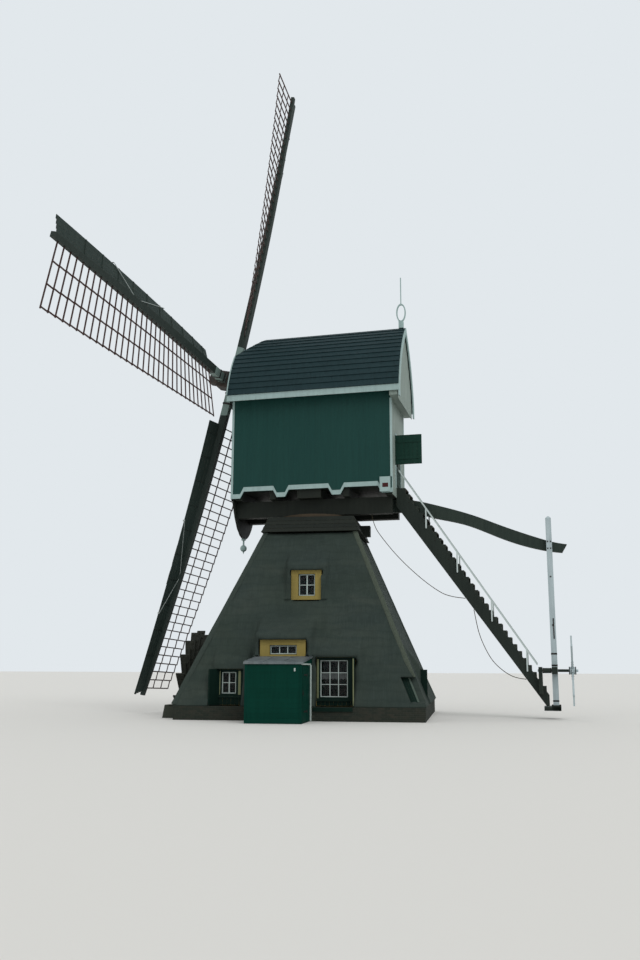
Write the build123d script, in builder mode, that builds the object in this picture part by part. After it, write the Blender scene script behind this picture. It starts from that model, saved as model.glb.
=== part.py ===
# A hollow post mill: a thatched tower on a brick foot carries a boarded mill house that turns with
# its four sails, its stair and its tail. Millimetres and degrees, +Z up, ground at z = 0.
# The tower stands square to X and Y, with its front towards -Y. The house turns about Z, and its
# own x runs from the sails (negative) to the tail (positive).
from build123d import *
from math import cos, pi, radians, sin, tan
import os

os.makedirs("parts", exist_ok=True)

# General clearances
seat_gap = 0.3            # between pieces that are fixed to each other and meet at an angle
running_gap = 0.5         # between a bearing and what turns in it
moving_gap = 12           # between things that pass each other as they turn
cut_margin = 500          # shapes that cut reach this far past what they cut

# Brick foot of the tower
foot_wall = 250           # thickness of the brick wall
foot_inset = 60           # brick stands this far inside the thatch's lower edge
floor_depth = 100         # ground floor slab

# Thatched tower
thatch_foot_half = 4500   # half the width at the thatch's lower edge
thatch_foot_z = 480
thatch_head_half = 1790
thatch_head_z = 7000
thatch_depth = 400        # level thickness of thatch, battens and lining
upper_floor_z = 3600      # top of the upper floor
upper_floor_depth = 140

# Timber head of the tower
head_half = 1660
head_foot_half = 1900     # its boarded skirt widens to this at the thatch
head_bore_half = 1150
head_top_z = 7600
head_beam_reach = 2160    # the long bearer's end that stands out on the right
head_beam_width = 380
head_beam_depth = 420
ring_outer = 1500
ring_inner = 1160
ring_height = 140

# Hollow post and its pivot
post_half = 300
post_wall = 110
pivot_radius = 290
pivot_height = 260
post_shoulder_z = 8400

# Front porch and its side door
porch_left = -1440
porch_right = 460
porch_reach = 1680        # the porch's front stands this far ahead of the thatch's lower edge
porch_wall = 60
porch_height = 1960       # at the front, under the roof
porch_rise = 200          # the lean-to roof rises this much to the back
porch_bite = 250          # its roof ends this far inside the thatch's lower edge
porch_roof_depth = 50
porch_roof_lip = 60
door_width = 900
door_height = 1850
door_thickness = 45
door_post = 90
door_sill = 30
door_gap = 8

# Windows: left, right, low and high edge of the frame, seen from outside their own wall
frame_depth = 130
frame_bar = 80
glass_depth = 8
glass_bite = 12           # glass is let into its frame by this much
window_inset = 500        # ground floor frames stand this far inside the thatch's lower edge
left_window = (-2920, -2000, 500, 1760)
left_panel = 300          # height of the boarded panel below the glass
right_window = (610, 1990, 500, 2180)
right_panel = 200
side_window = (-1620, -700, 500, 1760)      # on the right wall and on the back wall
transom_window = (-1380, 270, 2180, 2790)   # above the porch roof
upper_window = (-550, 600, 4290, 5400)
upper_bar = 150
upper_stand = 320         # the upper window's head stands this far out of the slope

# Thatch lifted over a window's head
hood_depth = 180          # its thickness
hood_reach = 160          # it stands out over the window
hood_side = 220
hood_run = 700            # it dies into the slope this far above its top
thatch_root = 10          # thatch that is added starts this deep in the wall

# Boards that line the ground floor windows, and the boarded recess along the right front hip
cheek_thickness = 40
cheek_reach = 400
cheek_splay = 280
corner_width = 500        # from the hip, along each wall
corner_low = 650
corner_height = 850
corner_depth = 250        # the recess's depth in the thatch
corner_thickness = 40

# Scoop wheel beside the left wall, of which the part above the ground is made, and its pit's kerb
scoop_radius = 2970       # to the tips of its paddles
scoop_axle_z = 300
scoop_gap = 170           # between the brick foot and the paddles
scoop_width = 330         # of the paddles, along the shaft
scoop_paddles = 22        # in the whole wheel
scoop_first = 15.1        # degrees from the top to a paddle's tip, towards the front
scoop_lean = 25           # degrees that the paddles lean from the radius
paddle_length = 1000
paddle_thickness = 45
prop_length = 700         # the timber behind each paddle stands this far out of the ring
prop_width = 100
prop_depth = 75
scoop_ring_width = 130
scoop_ring_depth = 170
scoop_arms = 8
scoop_arm_width = 100
scoop_arm_depth = 120
scoop_hub_radius = 260
scoop_shaft_radius = 130
kerb_drop = 15            # its top lies this far below the thatch's lower edge
kerb_thickness = 200
kerb_batter = 80          # its outer face leans in by this much
kerb_gap = 60             # between the kerb and the paddles' sides
kerb_end_gap = 150        # between the wheel's reach and the kerb's ends

# House
house_turn = -5.57        # degrees from the tower's front to the house's side at rest
house_front = 3240        # front wall's face ahead of the axis
house_back = 3340
house_half = 1450
house_wall = 90
wall_low = 8470           # lowest edge of the side walls
trim_rise = 280           # the wall's lower edge steps up between its drops
drop_spacing = 2260
drop_flat = 340
drop_slope = 150
end_drop = 400            # low stretch at each end of the side wall
trim_height = 180
trim_thickness = 30
floor_z = 8810            # top of the house floor
floor_thickness = 60
cross_beam_depth = 350
cross_beam_width = 260
cross_beam_inset = 300    # the foremost beam's centre behind the front wall's face
cross_beam_spread = 1500  # the inner two beams' centres from the axis
crown_beam_width = 960
bearer_low = 7750         # underside of the long bearers
bearer_width = 360
bearer_offset = 760       # from the axis to a bearer's centre line
bearer_inset = 110        # its ends stand back from the front and back walls
apron_edge = ((1360, 8330), (1190, 8000), (1000, 7670), (720, 7340), (400, 7120))
apron_tip_z = 7040
apron_tip_half = 160
apron_setback = 50        # its face behind the front wall's
apron_thickness = 60
pendant_collar = 90
pendant_neck = 35
pendant_ball = 135
pendant_ring = 60
pendant_drop = 260        # from the apron's tip to the ball's top
pendant_length = 640
stair_door_near = -560    # house y of the stair door's near jamb
stair_door_far = 500
stair_door_top = 10930
leaf_split = 9740         # the door's lower leaf ends here
leaf_thickness = 40
sill_box_from = 2880      # white box round the sill's end, along the near wall
sill_box_to = 3290
sill_box_low = 8500
sill_box_high = 9080
sill_box_depth = 110

# Roof of the house
eaves_half = 1880
eaves_z = 12690
ridge_z = 15640
roof_swell = (1330, 14120)    # a point on the curved slope
roof_thickness = 80
roof_front = 3360
roof_back = 3720
hip_foot_z = 14650
hip_ridge = 2320          # the ridge starts this far ahead of the axis
hip_depth = 112           # boards and battens of the front hip, measured upright
wall_head_z = 12770
gable_setback = 60
gable_thickness = 50
eaves_board_height = 250
eaves_board_thickness = 40
eaves_soffit_level = 114   # the soffit's middle below the eaves
eaves_soffit_depth = 32
barge_depth = 210
barge_thickness = 45
barge_drop = 470
soffit_drop = 500         # the rear gable ends this far below the wall's head
soffit_depth = 40
gable_side = 40           # boards that close the gable's sides
finial_at = 3560
finial_size = 190
finial_seat = 60
finial_base = 300
finial_oval = 400         # half the oval's height
finial_oval_half = 200    # half its width
finial_side_rim = 50
finial_end_rim = 60
finial_ring_depth = 60
finial_root = 20          # the oval and the rod are let in by this much
finial_rod_radius = 22
finial_top = 17880

# Sails and shaft
hub_ahead = 3950
hub_z = 13900
shaft_incline = 12.7
sail_turn = 1.3           # the near sail points at the viewer and this much upwards
sail_length = 13610
stock_gap = 190           # each stock's centre lies this far from the hub's centre along the shaft
stock_hub_width = 340
stock_tip_width = 180
stock_hub_depth = 300
stock_tip_depth = 150
stock_sheer = 540         # the tips curve forward by this much
stock_slack = 1.2         # the stock's curve needs this much in the shaft's head
lattice_start = 2050
lattice_pitch = 352
lattice_bars = 33
lattice_width = 2230      # from the stock's centre line to the outer hem
twist_root = 21
twist_tip = 1
bar_width = 42
bar_thickness = 36
lath_width = 50
lath_thickness = 24
lath_rows = 3
lath_lap = 4              # each length of lath runs this much into the next
board_start = 2250
board_count = 5
board_width = 560
board_thickness = 26
board_joint = 20
board_lift = 6            # degrees that the boards stand steeper than the lattice
cloth_boards = 3          # each furled cloth lies along this many of the inner boards
cloth_radius = 110
cloth_core = 60           # the roll is this thin where it passes from board to board
cloth_across = 420        # from a board's inner edge to the roll's centre
shaft_radius = 250
shaft_hole_gap = 90       # between the shaft and the front wall's boards
poll_half = 350
poll_back = 440
poll_front = 430
nose_half = 230
nose_reach = 830
shaft_tail = 2600         # the shaft's tail end lies this far behind the axis
neck_beam_depth = 400
neck_beam_height = 620
tail_bearing_at = 2250
tail_bearing_depth = 300
tail_bearing_height = 520

# Stair and tail
stair_top = (3700, 8810)  # house x and height of the uppermost tread's nose
stair_foot = (8800, 1180)
stair_half = 430
string_width = 60
string_drop = 200         # the strings lie this far below the line of the noses
string_low = ((3620, 7700), (8890, 330))     # two points on the strings' lower edge
tread_count = 31
tread_depth = 240
tread_thickness = 45
rail_height = 400
rail_size = 50
rail_lap = 250            # the rail's posts reach this far down the strings' faces
rail_from = 3450
rail_to = 8500
rail_posts = (4500, 5670, 6920, 8150)
tail_beam_half = 110
tail_beam_from = 520
tail_beam_depth = 500     # under the house
tail_beam_dips = (0.15, 0.1)    # slopes of its upper and lower edges at the far end
tail_beam_upper = ((4850, 8130), (6400, 7630), (7310, 7250), (8830, 6670), (9780, 6430))
tail_beam_lower = ((4640, 7660), (5870, 7350), (7290, 6760), (8820, 6250), (9600, 6120))
tail_post_at = 9130
tail_post_size = 210
tail_post_top = 7500
tail_post_chamfer = 74    # its pointed head
foot_beam_from = 8700
foot_beam_to = 9300
foot_beam_low = 300
foot_beam_depth = 150
axle_z = 1740
axle_beside = 195         # from the tail post's face to the axle's centre
axle_radius = 90
journal_radius = 45
axle_inward = 610         # from the tail post's centre to the axle's inner end
axle_outward = 830
block_inward = 510        # from the tail post's centre to the inner bearing block's
block_length = 140
block_beyond = 115        # the blocks reach this far past the axle's centre
block_above = 130
block_low = 900
hub_length = 260
hub_radius = 135
wheel_outward = 630       # from the tail post's centre to the wheel's
wheel_radius = 1260
wheel_spokes = 8
spoke_width = 90
spoke_thickness = 60

# Ropes, as points in the house's own frame
rope_radius = 14
brake_rope_route = ((2400, -760, 7747), (2480, -750, 7300), (2800, -700, 6800), (3400, -620, 6050),
                    (4120, -540, 5340), (4800, -480, 4790), (5350, -430, 4486), (5946, -400, 4430.8))
hand_rope_route = ((6250, -400, 3999.9), (6300, -400, 3700), (6400, -400, 3150), (6600, -400, 2600),
                   (6900, -400, 2050), (7350, -400, 1650), (7750, -400, 1454), (8096, -400, 1424.2))

# Frames in which the turning pieces are drawn
HOUSE = Plane.XY.rotated((0, 0, house_turn))
SIDE = Plane(origin=(0, 0, 0), x_dir=HOUSE.x_dir, z_dir=-HOUSE.y_dir)
ACROSS = Plane(origin=(0, 0, 0), x_dir=HOUSE.y_dir, z_dir=HOUSE.x_dir)
hub = HOUSE.from_local_coords(Vector(-hub_ahead, 0, hub_z))
shaft_forward = HOUSE.from_local_coords(Vector(-cos(radians(shaft_incline)), 0, sin(radians(shaft_incline))))
SHAFT = Plane(origin=hub, x_dir=-HOUSE.y_dir, z_dir=shaft_forward)


def sail_frame(index, lift):
    """Frame of a sail: x out along it, y to its leading side, z forward along the shaft."""
    angle = radians(sail_turn + 90 * index)
    outward = SHAFT.x_dir * cos(angle) + SHAFT.y_dir * sin(angle)
    return Plane(origin=hub + shaft_forward * lift, x_dir=outward, z_dir=shaft_forward)


def save(piece, name):
    piece.label = name
    export_step(piece, f"parts/{name}.step")


# Ratio of the tower's batter: how far its walls lean in for each unit of height
thatch_slope = (thatch_foot_half - thatch_head_half) / (thatch_head_z - thatch_foot_z)


def thatch_half(z, inset=0):
    """Half the tower's width at a height, less an inset."""
    return thatch_foot_half - thatch_slope * (z - thatch_foot_z) - inset


# Ground floor: a level slab inside the brick foot, and the face that the mill rests on
foot_half = thatch_foot_half - foot_inset
room_half = foot_half - foot_wall
with BuildPart() as ground_floor:
    with Locations((0, 0, floor_depth / 2)):
        Box(2 * room_half, 2 * room_half, floor_depth)
save(ground_floor.part, "ground_floor")

# Frame of the scoop wheel: x to the front, y up and z out of the left wall, on the paddles' inner side
SCOOP = Plane(origin=(-foot_half - scoop_gap, 0, scoop_axle_z), x_dir=(0, -1, 0), z_dir=(-1, 0, 0))

# Brick foot: four walls, left open behind the porch, with a hole for the scoop wheel's shaft
side_names = ["front", "right", "back", "left"]
gap_half = (porch_right - porch_left) / 2 - porch_wall
gap_middle = (porch_right + porch_left) / 2
with BuildPart() as brick_foot:
    for index in range(4):
        with BuildSketch(Plane.XY.rotated((0, 0, 90 * index))):
            with BuildLine():
                near, far = foot_half - seat_gap, room_half - seat_gap
                Polyline((-near, -foot_half), (near, -foot_half), (far, -room_half), (-far, -room_half),
                         close=True)
            make_face()
        extrude(amount=thatch_foot_z)
    with BuildSketch(Plane.XY.offset(floor_depth)):
        with Locations((gap_middle, -foot_half + foot_wall / 2)):
            Rectangle(2 * gap_half, 2 * foot_wall)
    extrude(amount=thatch_foot_z, mode=Mode.SUBTRACT)
    with BuildSketch(SCOOP.offset(-scoop_gap - foot_wall / 2)):
        Circle(scoop_shaft_radius + seat_gap)
    extrude(amount=foot_wall, mode=Mode.SUBTRACT)
save(brick_foot.part, "brick_foot")

def tower_shape(inset):
    """The tower's solid shape between the thatch's lower edge and its head, less an inset."""
    with BuildPart() as shape:
        for z, half in ((thatch_foot_z, thatch_foot_half), (thatch_head_z, thatch_head_half)):
            with BuildSketch(Plane.XY.offset(z)):
                Rectangle(2 * (half - inset), 2 * (half - inset))
        loft()
    return shape.part


def corner_recess(gap):
    """The recess along the right front hip, smaller all round by a gap."""
    with BuildPart() as recess:
        for z in (corner_low + gap, corner_low + corner_height - gap):
            side = corner_width + cut_margin - gap
            middle = thatch_half(z) + cut_margin - side / 2
            with BuildSketch(Plane.XY.offset(z)):
                with Locations((middle, -middle)):
                    Rectangle(side, side)
        loft()
        add(tower_shape(corner_depth - gap), mode=Mode.SUBTRACT)
    return recess.part


# Thatched walls: one hollow pyramid cut along its hips, with its windows and doorways cut through
with BuildPart() as thatch_shell:
    add(tower_shape(0))
    add(tower_shape(thatch_depth), mode=Mode.SUBTRACT)


def opening(left, right, low, high):
    """The space of a level opening through the wall that faces -Y."""
    with BuildPart() as space:
        with BuildSketch(Plane.XZ.offset(thatch_head_half / 2)):
            with Locations(((left + right) / 2, (low + high) / 2)):
                Rectangle(right - left, high - low)
        extrude(amount=2 * thatch_foot_half)
    return space.part


def hood(left, right, low, high, plane):
    """Thatch that wraps the head and sides of a window that stands out of the slope."""
    front = plane + hood_reach
    top = high + hood_depth
    back_z = top + hood_run
    start = max(low, thatch_foot_z + (thatch_foot_half - front) / thatch_slope)
    with BuildPart() as lifted:
        with BuildSketch(Plane.YZ.offset(left - hood_side)):
            with BuildLine():
                Polyline((-front, start), (-front, top), (-thatch_half(back_z, thatch_root), back_z),
                         (-thatch_half(start, thatch_root), start), close=True)
            make_face()
        extrude(amount=right - left + 2 * hood_side)
    return lifted.part


def window_frame(left, right, low, high, plane, bar, panel):
    """An upright frame round the glass, with a boarded panel below it."""
    with BuildPart() as frame:
        with BuildSketch(Plane.XZ.offset(plane)):
            with Locations(((left + right) / 2, (low + high) / 2)):
                Rectangle(right - left - 2 * seat_gap, high - low - 2 * seat_gap)
            with Locations(((left + right) / 2, (low + panel + high) / 2)):
                Rectangle(right - left - 2 * bar, high - low - panel - 2 * bar, mode=Mode.SUBTRACT)
        extrude(amount=-frame_depth)
    return frame.part


def window_glass(left, right, low, high, plane, bar, panel):
    """The sheet of glass behind a window frame, wider than the light by a rebate."""
    with BuildPart() as sheet:
        with BuildSketch(Plane.XZ.offset(plane - frame_depth)):
            with Locations(((left + right) / 2, (low + panel + high) / 2)):
                rim = bar - glass_bite
                Rectangle(right - left - 2 * rim, high - low - panel - 2 * rim)
        extrude(amount=-glass_depth)
    return sheet.part


def mirrored(window):
    """The same window on the other side of its wall's middle."""
    return (-window[1], -window[0], window[2], window[3])


# Each window: its wall, its outline, its plane, its frame's width and the panel below its glass
low_plane = thatch_foot_half - window_inset
transom_plane = thatch_foot_half - porch_bite
upper_plane = thatch_half(upper_window[3]) + upper_stand
windows = [
    ("front", left_window, low_plane, frame_bar, left_panel),
    ("front", right_window, low_plane, frame_bar, right_panel),
    ("front", transom_window, transom_plane, frame_bar, 0),
    ("front", upper_window, upper_plane, upper_bar, 0),
    ("right", side_window, low_plane, frame_bar, left_panel),
    ("back", side_window, low_plane, frame_bar, left_panel),
    ("back", mirrored(side_window), low_plane, frame_bar, left_panel),
    ("back", upper_window, upper_plane, upper_bar, 0),
]
roof_top_z = porch_height + porch_rise + porch_roof_depth
for index, side in enumerate(side_names):
    with BuildPart() as wall:
        add(thatch_shell.part)
        with BuildSketch(Plane.XY.offset(thatch_foot_z)):
            with BuildLine():
                reach = 2 * thatch_foot_half
                Polyline((0, 0), (-reach, -reach), (reach, -reach), close=True)
            make_face()
        extrude(amount=thatch_head_z, mode=Mode.INTERSECT)
        for at, (left, right, low, high), plane, bar, panel in windows:
            if at == side:
                doorway = plane == transom_plane
                add(hood(left, right, roof_top_z + seat_gap if doorway else low, high, plane))
                foot = low if plane == upper_plane else thatch_foot_z - thatch_root
                add(opening(left, right, foot, high), mode=Mode.SUBTRACT)
        if side == "front":
            left, high = left_window[0], left_window[3]
            with BuildSketch(Plane.XY.offset(thatch_foot_z)):
                with BuildLine():
                    splay_x = left - cheek_splay - seat_gap
                    Polyline((left + thatch_root, -low_plane), (left, -low_plane),
                             (splay_x, -low_plane - cheek_reach),
                             (splay_x, -thatch_foot_half - thatch_root),
                             (left + thatch_root, -thatch_foot_half - thatch_root), close=True)
                make_face()
            extrude(amount=high - thatch_foot_z, mode=Mode.SUBTRACT)
        if side in ("front", "right"):
            add(Rotation(0, 0, -90 * index) * corner_recess(0), mode=Mode.SUBTRACT)
    save(Rotation(0, 0, 90 * index) * wall.part, f"thatch_{side}")

with BuildPart() as window_frames:
    for at, outline, plane, bar, panel in windows:
        add(Rotation(0, 0, 90 * side_names.index(at)) * window_frame(*outline, plane, bar, panel))
save(window_frames.part, "window_frames")
with BuildPart() as window_panes:
    for at, outline, plane, bar, panel in windows:
        add(Rotation(0, 0, 90 * side_names.index(at)) * window_glass(*outline, plane, bar, panel))
save(window_panes.part, "window_glass")

# Cheeks beside the ground floor windows, a shutter beside the side window, and the corner boarding
with BuildPart() as cheeks:
    left, low, high = left_window[0], left_window[2], left_window[3]
    with BuildSketch(Plane.XY.offset(low)):
        with BuildLine():
            splay = cheek_splay - cheek_thickness
            Polyline((left + seat_gap, -low_plane - seat_gap), (left + seat_gap + cheek_thickness,
                     -low_plane - seat_gap), (left - splay, -low_plane - cheek_reach),
                     (left - splay - cheek_thickness, -low_plane - cheek_reach), close=True)
        make_face()
    extrude(amount=high - low - 2 * seat_gap)
    for edge, (left, right, low, high), turn in ((right_window[1], right_window, 0),
                                                 (side_window[0], side_window, 90)):
        inward = -1 if edge == right else 1
        with BuildSketch(Plane.XY.offset(low).rotated((0, 0, turn))):
            with Locations((edge + inward * (seat_gap + cheek_thickness / 2),
                            -low_plane - seat_gap - cheek_reach / 2)):
                Rectangle(cheek_thickness, cheek_reach)
        extrude(amount=high - low - 2 * seat_gap)
with BuildPart() as corner_boards:
    add(corner_recess(seat_gap))
    add(tower_shape(corner_depth - corner_thickness), mode=Mode.INTERSECT)
with BuildPart() as window_cheeks:
    add(cheeks.part)
    add(corner_boards.part)
save(window_cheeks.part, "window_cheeks")

# Upper floor: boards on joists, fitted between the sloping walls
with BuildPart() as upper_floor:
    for z in (upper_floor_z - upper_floor_depth, upper_floor_z):
        with BuildSketch(Plane.XY.offset(z)):
            width = 2 * thatch_half(z, thatch_depth + seat_gap)
            Rectangle(width, width)
    loft()
    with BuildSketch(Plane.XY.offset(upper_floor_z)):
        Rectangle(2 * post_half + 2 * seat_gap, 2 * post_half + 2 * seat_gap)
    extrude(amount=-upper_floor_depth, mode=Mode.SUBTRACT)
save(upper_floor.part, "upper_floor")

# Timber head of the tower with the ring that the house's bearers pass over
with BuildPart() as tower_head:
    for z, half in ((thatch_head_z, head_foot_half), (head_top_z, head_half)):
        with BuildSketch(Plane.XY.offset(z)):
            Rectangle(2 * half, 2 * half)
    loft()
    with BuildSketch(Plane.XY.offset(thatch_head_z)):
        Rectangle(2 * head_bore_half, 2 * head_bore_half)
    extrude(amount=head_top_z - thatch_head_z, mode=Mode.SUBTRACT)
    with BuildSketch(Plane.XY.offset(thatch_head_z)):
        with Locations(((head_half + head_beam_reach) / 2, 0)):
            Rectangle(head_beam_reach - head_half, head_beam_width)
    extrude(amount=head_beam_depth)
save(tower_head.part, "tower_head")
with BuildPart() as bearing_ring:
    with BuildSketch(Plane.XY.offset(head_top_z)):
        Circle(ring_outer)
        Circle(ring_inner, mode=Mode.SUBTRACT)
    extrude(amount=ring_height)
save(bearing_ring.part, "bearing_ring")

# Hollow post: stands on the ground floor, passes both floors and ends in the pivot of the house
with BuildPart() as hollow_post:
    with BuildSketch(Plane.XY.offset(floor_depth)):
        Rectangle(2 * post_half, 2 * post_half)
    extrude(amount=post_shoulder_z - floor_depth)
    with BuildSketch(Plane.XY.offset(post_shoulder_z)):
        Circle(pivot_radius)
    extrude(amount=pivot_height)
    with BuildSketch(Plane.XY.offset(floor_depth)):
        Rectangle(2 * (post_half - post_wall), 2 * (post_half - post_wall))
    extrude(amount=post_shoulder_z + pivot_height, mode=Mode.SUBTRACT)
save(hollow_post.part, "hollow_post")

# Porch: boarded walls, a lean-to roof and a door in its right side
porch_front = thatch_foot_half + porch_reach
porch_back = thatch_foot_half - porch_bite
doorway_front = porch_front - porch_wall - door_post
doorway_back = doorway_front - door_width


def porch_side(x):
    """One side of the porch, rising to the back with the roof and fitted to the thatch's slope."""
    meet_z = thatch_foot_z + (thatch_foot_half + seat_gap - porch_back) / thatch_slope
    with BuildPart() as side:
        with BuildSketch(Plane.YZ.offset(x)):
            with BuildLine():
                Polyline((-porch_front, 0), (-porch_front, porch_height),
                         (-porch_back, porch_height + porch_rise), (-porch_back, meet_z),
                         (-thatch_foot_half - seat_gap, thatch_foot_z), (-thatch_foot_half - seat_gap, 0),
                         close=True)
            make_face()
        extrude(amount=porch_wall)
    return side.part


def porch_end():
    """The porch's front wall, between its sides."""
    with BuildPart() as end:
        with BuildSketch(Plane.XZ.offset(porch_front)):
            with Locations((gap_middle, porch_height / 2)):
                Rectangle(porch_right - porch_left - 2 * porch_wall, porch_height)
        extrude(amount=-porch_wall)
    return end.part


def porch_roof():
    """The lean-to roof, with a lip over the front and the sides."""
    slope = porch_rise / (porch_front - porch_back)
    lip_z = porch_height - slope * porch_roof_lip
    with BuildPart() as roof:
        with BuildSketch(Plane.YZ.offset(porch_left - porch_roof_lip)):
            with BuildLine():
                Polyline((-porch_front - porch_roof_lip, lip_z), (-porch_front - porch_roof_lip,
                         lip_z + porch_roof_depth), (-porch_back, roof_top_z),
                         (-porch_back, porch_height + porch_rise), close=True)
            make_face()
        extrude(amount=porch_right - porch_left + 2 * porch_roof_lip)
    return roof.part


with BuildPart() as front_porch_walls:
    add(porch_side(porch_left))
    add(porch_end())
save(front_porch_walls.part, "front_porch_walls")
save(porch_roof(), "porch_roof")
with BuildPart() as porch_door_frame:
    add(porch_side(porch_right - porch_wall))
    with BuildSketch(Plane.YZ.offset(porch_right - 2 * porch_wall)):
        with Locations((-(doorway_front + doorway_back) / 2, door_sill + door_height / 2)):
            Rectangle(door_width, door_height)
    extrude(amount=3 * porch_wall, mode=Mode.SUBTRACT)
save(porch_door_frame.part, "porch_door_frame")
with BuildPart() as porch_door:
    with BuildSketch(Plane.YZ.offset(porch_right - door_thickness)):
        free_edge, hinge_edge = doorway_front - door_gap, doorway_back + seat_gap
        with Locations((-(free_edge + hinge_edge) / 2, door_sill + door_height / 2)):
            Rectangle(free_edge - hinge_edge, door_height - 2 * door_gap)
    extrude(amount=door_thickness)
save(porch_door.part, "porch_door")

# Scoop wheel: shaft, hub, arms and ring in one, with a prop behind each of its paddles
scoop_ring = (scoop_radius**2 + paddle_length**2
              - 2 * scoop_radius * paddle_length * cos(radians(scoop_lean))) ** 0.5
kerb_inner = scoop_width + kerb_gap


def on_paddle(index, inward, behind):
    """A place so far in from a paddle's tip, so far behind its middle, turned the way it leans."""
    turn = scoop_first + 360 / scoop_paddles * index
    across, up = sin(radians(turn - scoop_lean)), cos(radians(turn - scoop_lean))
    return Location((scoop_radius * sin(radians(turn)) - inward * across + behind * up,
                     scoop_radius * cos(radians(turn)) - inward * up - behind * across, 0),
                    (0, 0, scoop_lean - turn))


def above_ground(index):
    """Whether either end of a paddle stands clear of the ground."""
    ends = [on_paddle(index, inward, 0).position.Y for inward in (0, paddle_length)]
    return scoop_axle_z + max(ends) > 2 * paddle_thickness


with BuildPart() as below_ground:
    with BuildSketch(Plane.XY):
        Rectangle(4 * thatch_foot_half, 4 * thatch_foot_half)
    extrude(amount=-2 * scoop_radius)
standing = [index for index in range(scoop_paddles) if above_ground(index)]
prop_inward = paddle_length - prop_length
with BuildPart() as scoop_frame:
    with BuildSketch(SCOOP.offset((scoop_width - scoop_ring_width) / 2)):
        Circle(scoop_ring)
        Circle(scoop_ring - scoop_ring_depth, mode=Mode.SUBTRACT)
    extrude(amount=scoop_ring_width)
    with BuildSketch(SCOOP.offset((scoop_width - scoop_arm_width) / 2)):
        with PolarLocations(0, scoop_arms // 2, angular_range=180):
            Rectangle(2 * scoop_ring - scoop_ring_depth, scoop_arm_depth)
    extrude(amount=scoop_arm_width)
    with BuildSketch(SCOOP.offset((scoop_width - prop_width) / 2)):
        for index in standing:
            length = prop_length + scoop_ring_depth / 2
            behind = (paddle_thickness + prop_depth) / 2 + seat_gap
            with Locations(on_paddle(index, prop_inward + length / 2, behind)):
                Rectangle(prop_depth, length)
    extrude(amount=prop_width)
    with BuildSketch(SCOOP):
        Circle(scoop_hub_radius)
    extrude(amount=scoop_width)
    with BuildSketch(SCOOP.offset(seat_gap - scoop_gap - foot_wall / 2)):
        Circle(scoop_shaft_radius)
    extrude(amount=scoop_gap + foot_wall / 2 + kerb_inner + kerb_thickness / 2 - 2 * seat_gap)
    add(below_ground.part, mode=Mode.SUBTRACT)
paddles = []
for index in standing:
    with BuildPart() as paddle:
        with BuildSketch(SCOOP):
            with Locations(on_paddle(index, paddle_length / 2, 0)):
                Rectangle(paddle_thickness, paddle_length)
            Circle(scoop_ring + seat_gap, mode=Mode.SUBTRACT)
        extrude(amount=scoop_width)
        add(below_ground.part, mode=Mode.SUBTRACT)
    paddles.append(paddle.part)
with BuildPart() as scoop_wheel:
    add(scoop_frame.part)
    add(paddles)
save(scoop_wheel.part, "scoop_wheel")

# Kerb round the scoop wheel's pit: its outer wall carries the shaft's end, its ends meet the brick foot
kerb_height = thatch_foot_z - kerb_drop
kerb_reach = scoop_radius + kerb_end_gap + kerb_thickness
kerb_half = kerb_reach - kerb_thickness / 2
with BuildPart() as pit_kerb:
    with BuildSketch(Plane.XZ.offset(-kerb_reach)):
        with BuildLine():
            inner = -foot_half - scoop_gap - kerb_inner
            Polyline((inner, 0), (inner, kerb_height), (inner - kerb_thickness + kerb_batter, kerb_height),
                     (inner - kerb_thickness, 0), close=True)
        make_face()
    extrude(amount=2 * kerb_reach)
    end_length = scoop_gap + kerb_inner + kerb_thickness / 2 - seat_gap
    with Locations(*[(-foot_half - seat_gap - end_length / 2, y, kerb_height / 2)
                     for y in (-kerb_half, kerb_half)]):
        Box(end_length, kerb_thickness, kerb_height)
    with BuildSketch(SCOOP.offset(kerb_inner)):
        Circle(scoop_shaft_radius + seat_gap)
    extrude(amount=kerb_thickness / 2, mode=Mode.SUBTRACT)
save(pit_kerb.part, "pit_kerb")

# House floor, cross beams, crown beam over the post and the two long bearers
beam_top = floor_z - floor_thickness
under_beams = beam_top - cross_beam_depth
with BuildPart(HOUSE) as house_floor:
    with Locations(((house_back - house_front) / 2, 0, floor_z - floor_thickness / 2)):
        Box(house_front + house_back - 2 * house_wall, 2 * (house_half - house_wall), floor_thickness)
save(house_floor.part, "house_floor")
cross_places = [-house_front + cross_beam_inset, -cross_beam_spread, cross_beam_spread,
                house_back - cross_beam_width / 2]
with BuildPart(HOUSE) as cross_beams:
    with Locations(*[(x, 0, beam_top - cross_beam_depth / 2) for x in cross_places]):
        Box(cross_beam_width, 2 * (house_half - house_wall), cross_beam_depth)
    with Locations((0, 0, (beam_top + post_shoulder_z + running_gap) / 2)):
        Box(crown_beam_width, 2 * (house_half - house_wall), beam_top - post_shoulder_z - running_gap)
    with Locations((0, 0, post_shoulder_z)):
        Cylinder(pivot_radius + running_gap, 2 * (pivot_height + running_gap), mode=Mode.SUBTRACT)
save(cross_beams.part, "cross_beams")
with BuildPart() as long_bearers:
    for side in (-1, 1):
        with BuildSketch(SIDE.offset(side * bearer_offset - bearer_width / 2)):
            with Locations(((house_back - house_front) / 2, (bearer_low + under_beams) / 2)):
                Rectangle(house_front + house_back - 2 * bearer_inset, under_beams - bearer_low)
        extrude(amount=bearer_width)
save(long_bearers.part, "long_bearers")


def wall_foot(shift):
    """The stepped lower edge of a side wall, from front to back, raised by a shift."""
    low, high = wall_low + shift, wall_low + trim_rise + shift
    corner = end_drop - house_front
    points = [(-house_front, low), (corner, low), (corner + drop_slope, high)]
    for middle in (-drop_spacing / 2, drop_spacing / 2):
        flat, top = drop_flat / 2, drop_flat / 2 + drop_slope
        points += [(middle - top, high), (middle - flat, low), (middle + flat, low), (middle + top, high)]
    points += [(house_back - end_drop - drop_slope, high), (house_back - end_drop, low), (house_back, low)]
    return points


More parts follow.
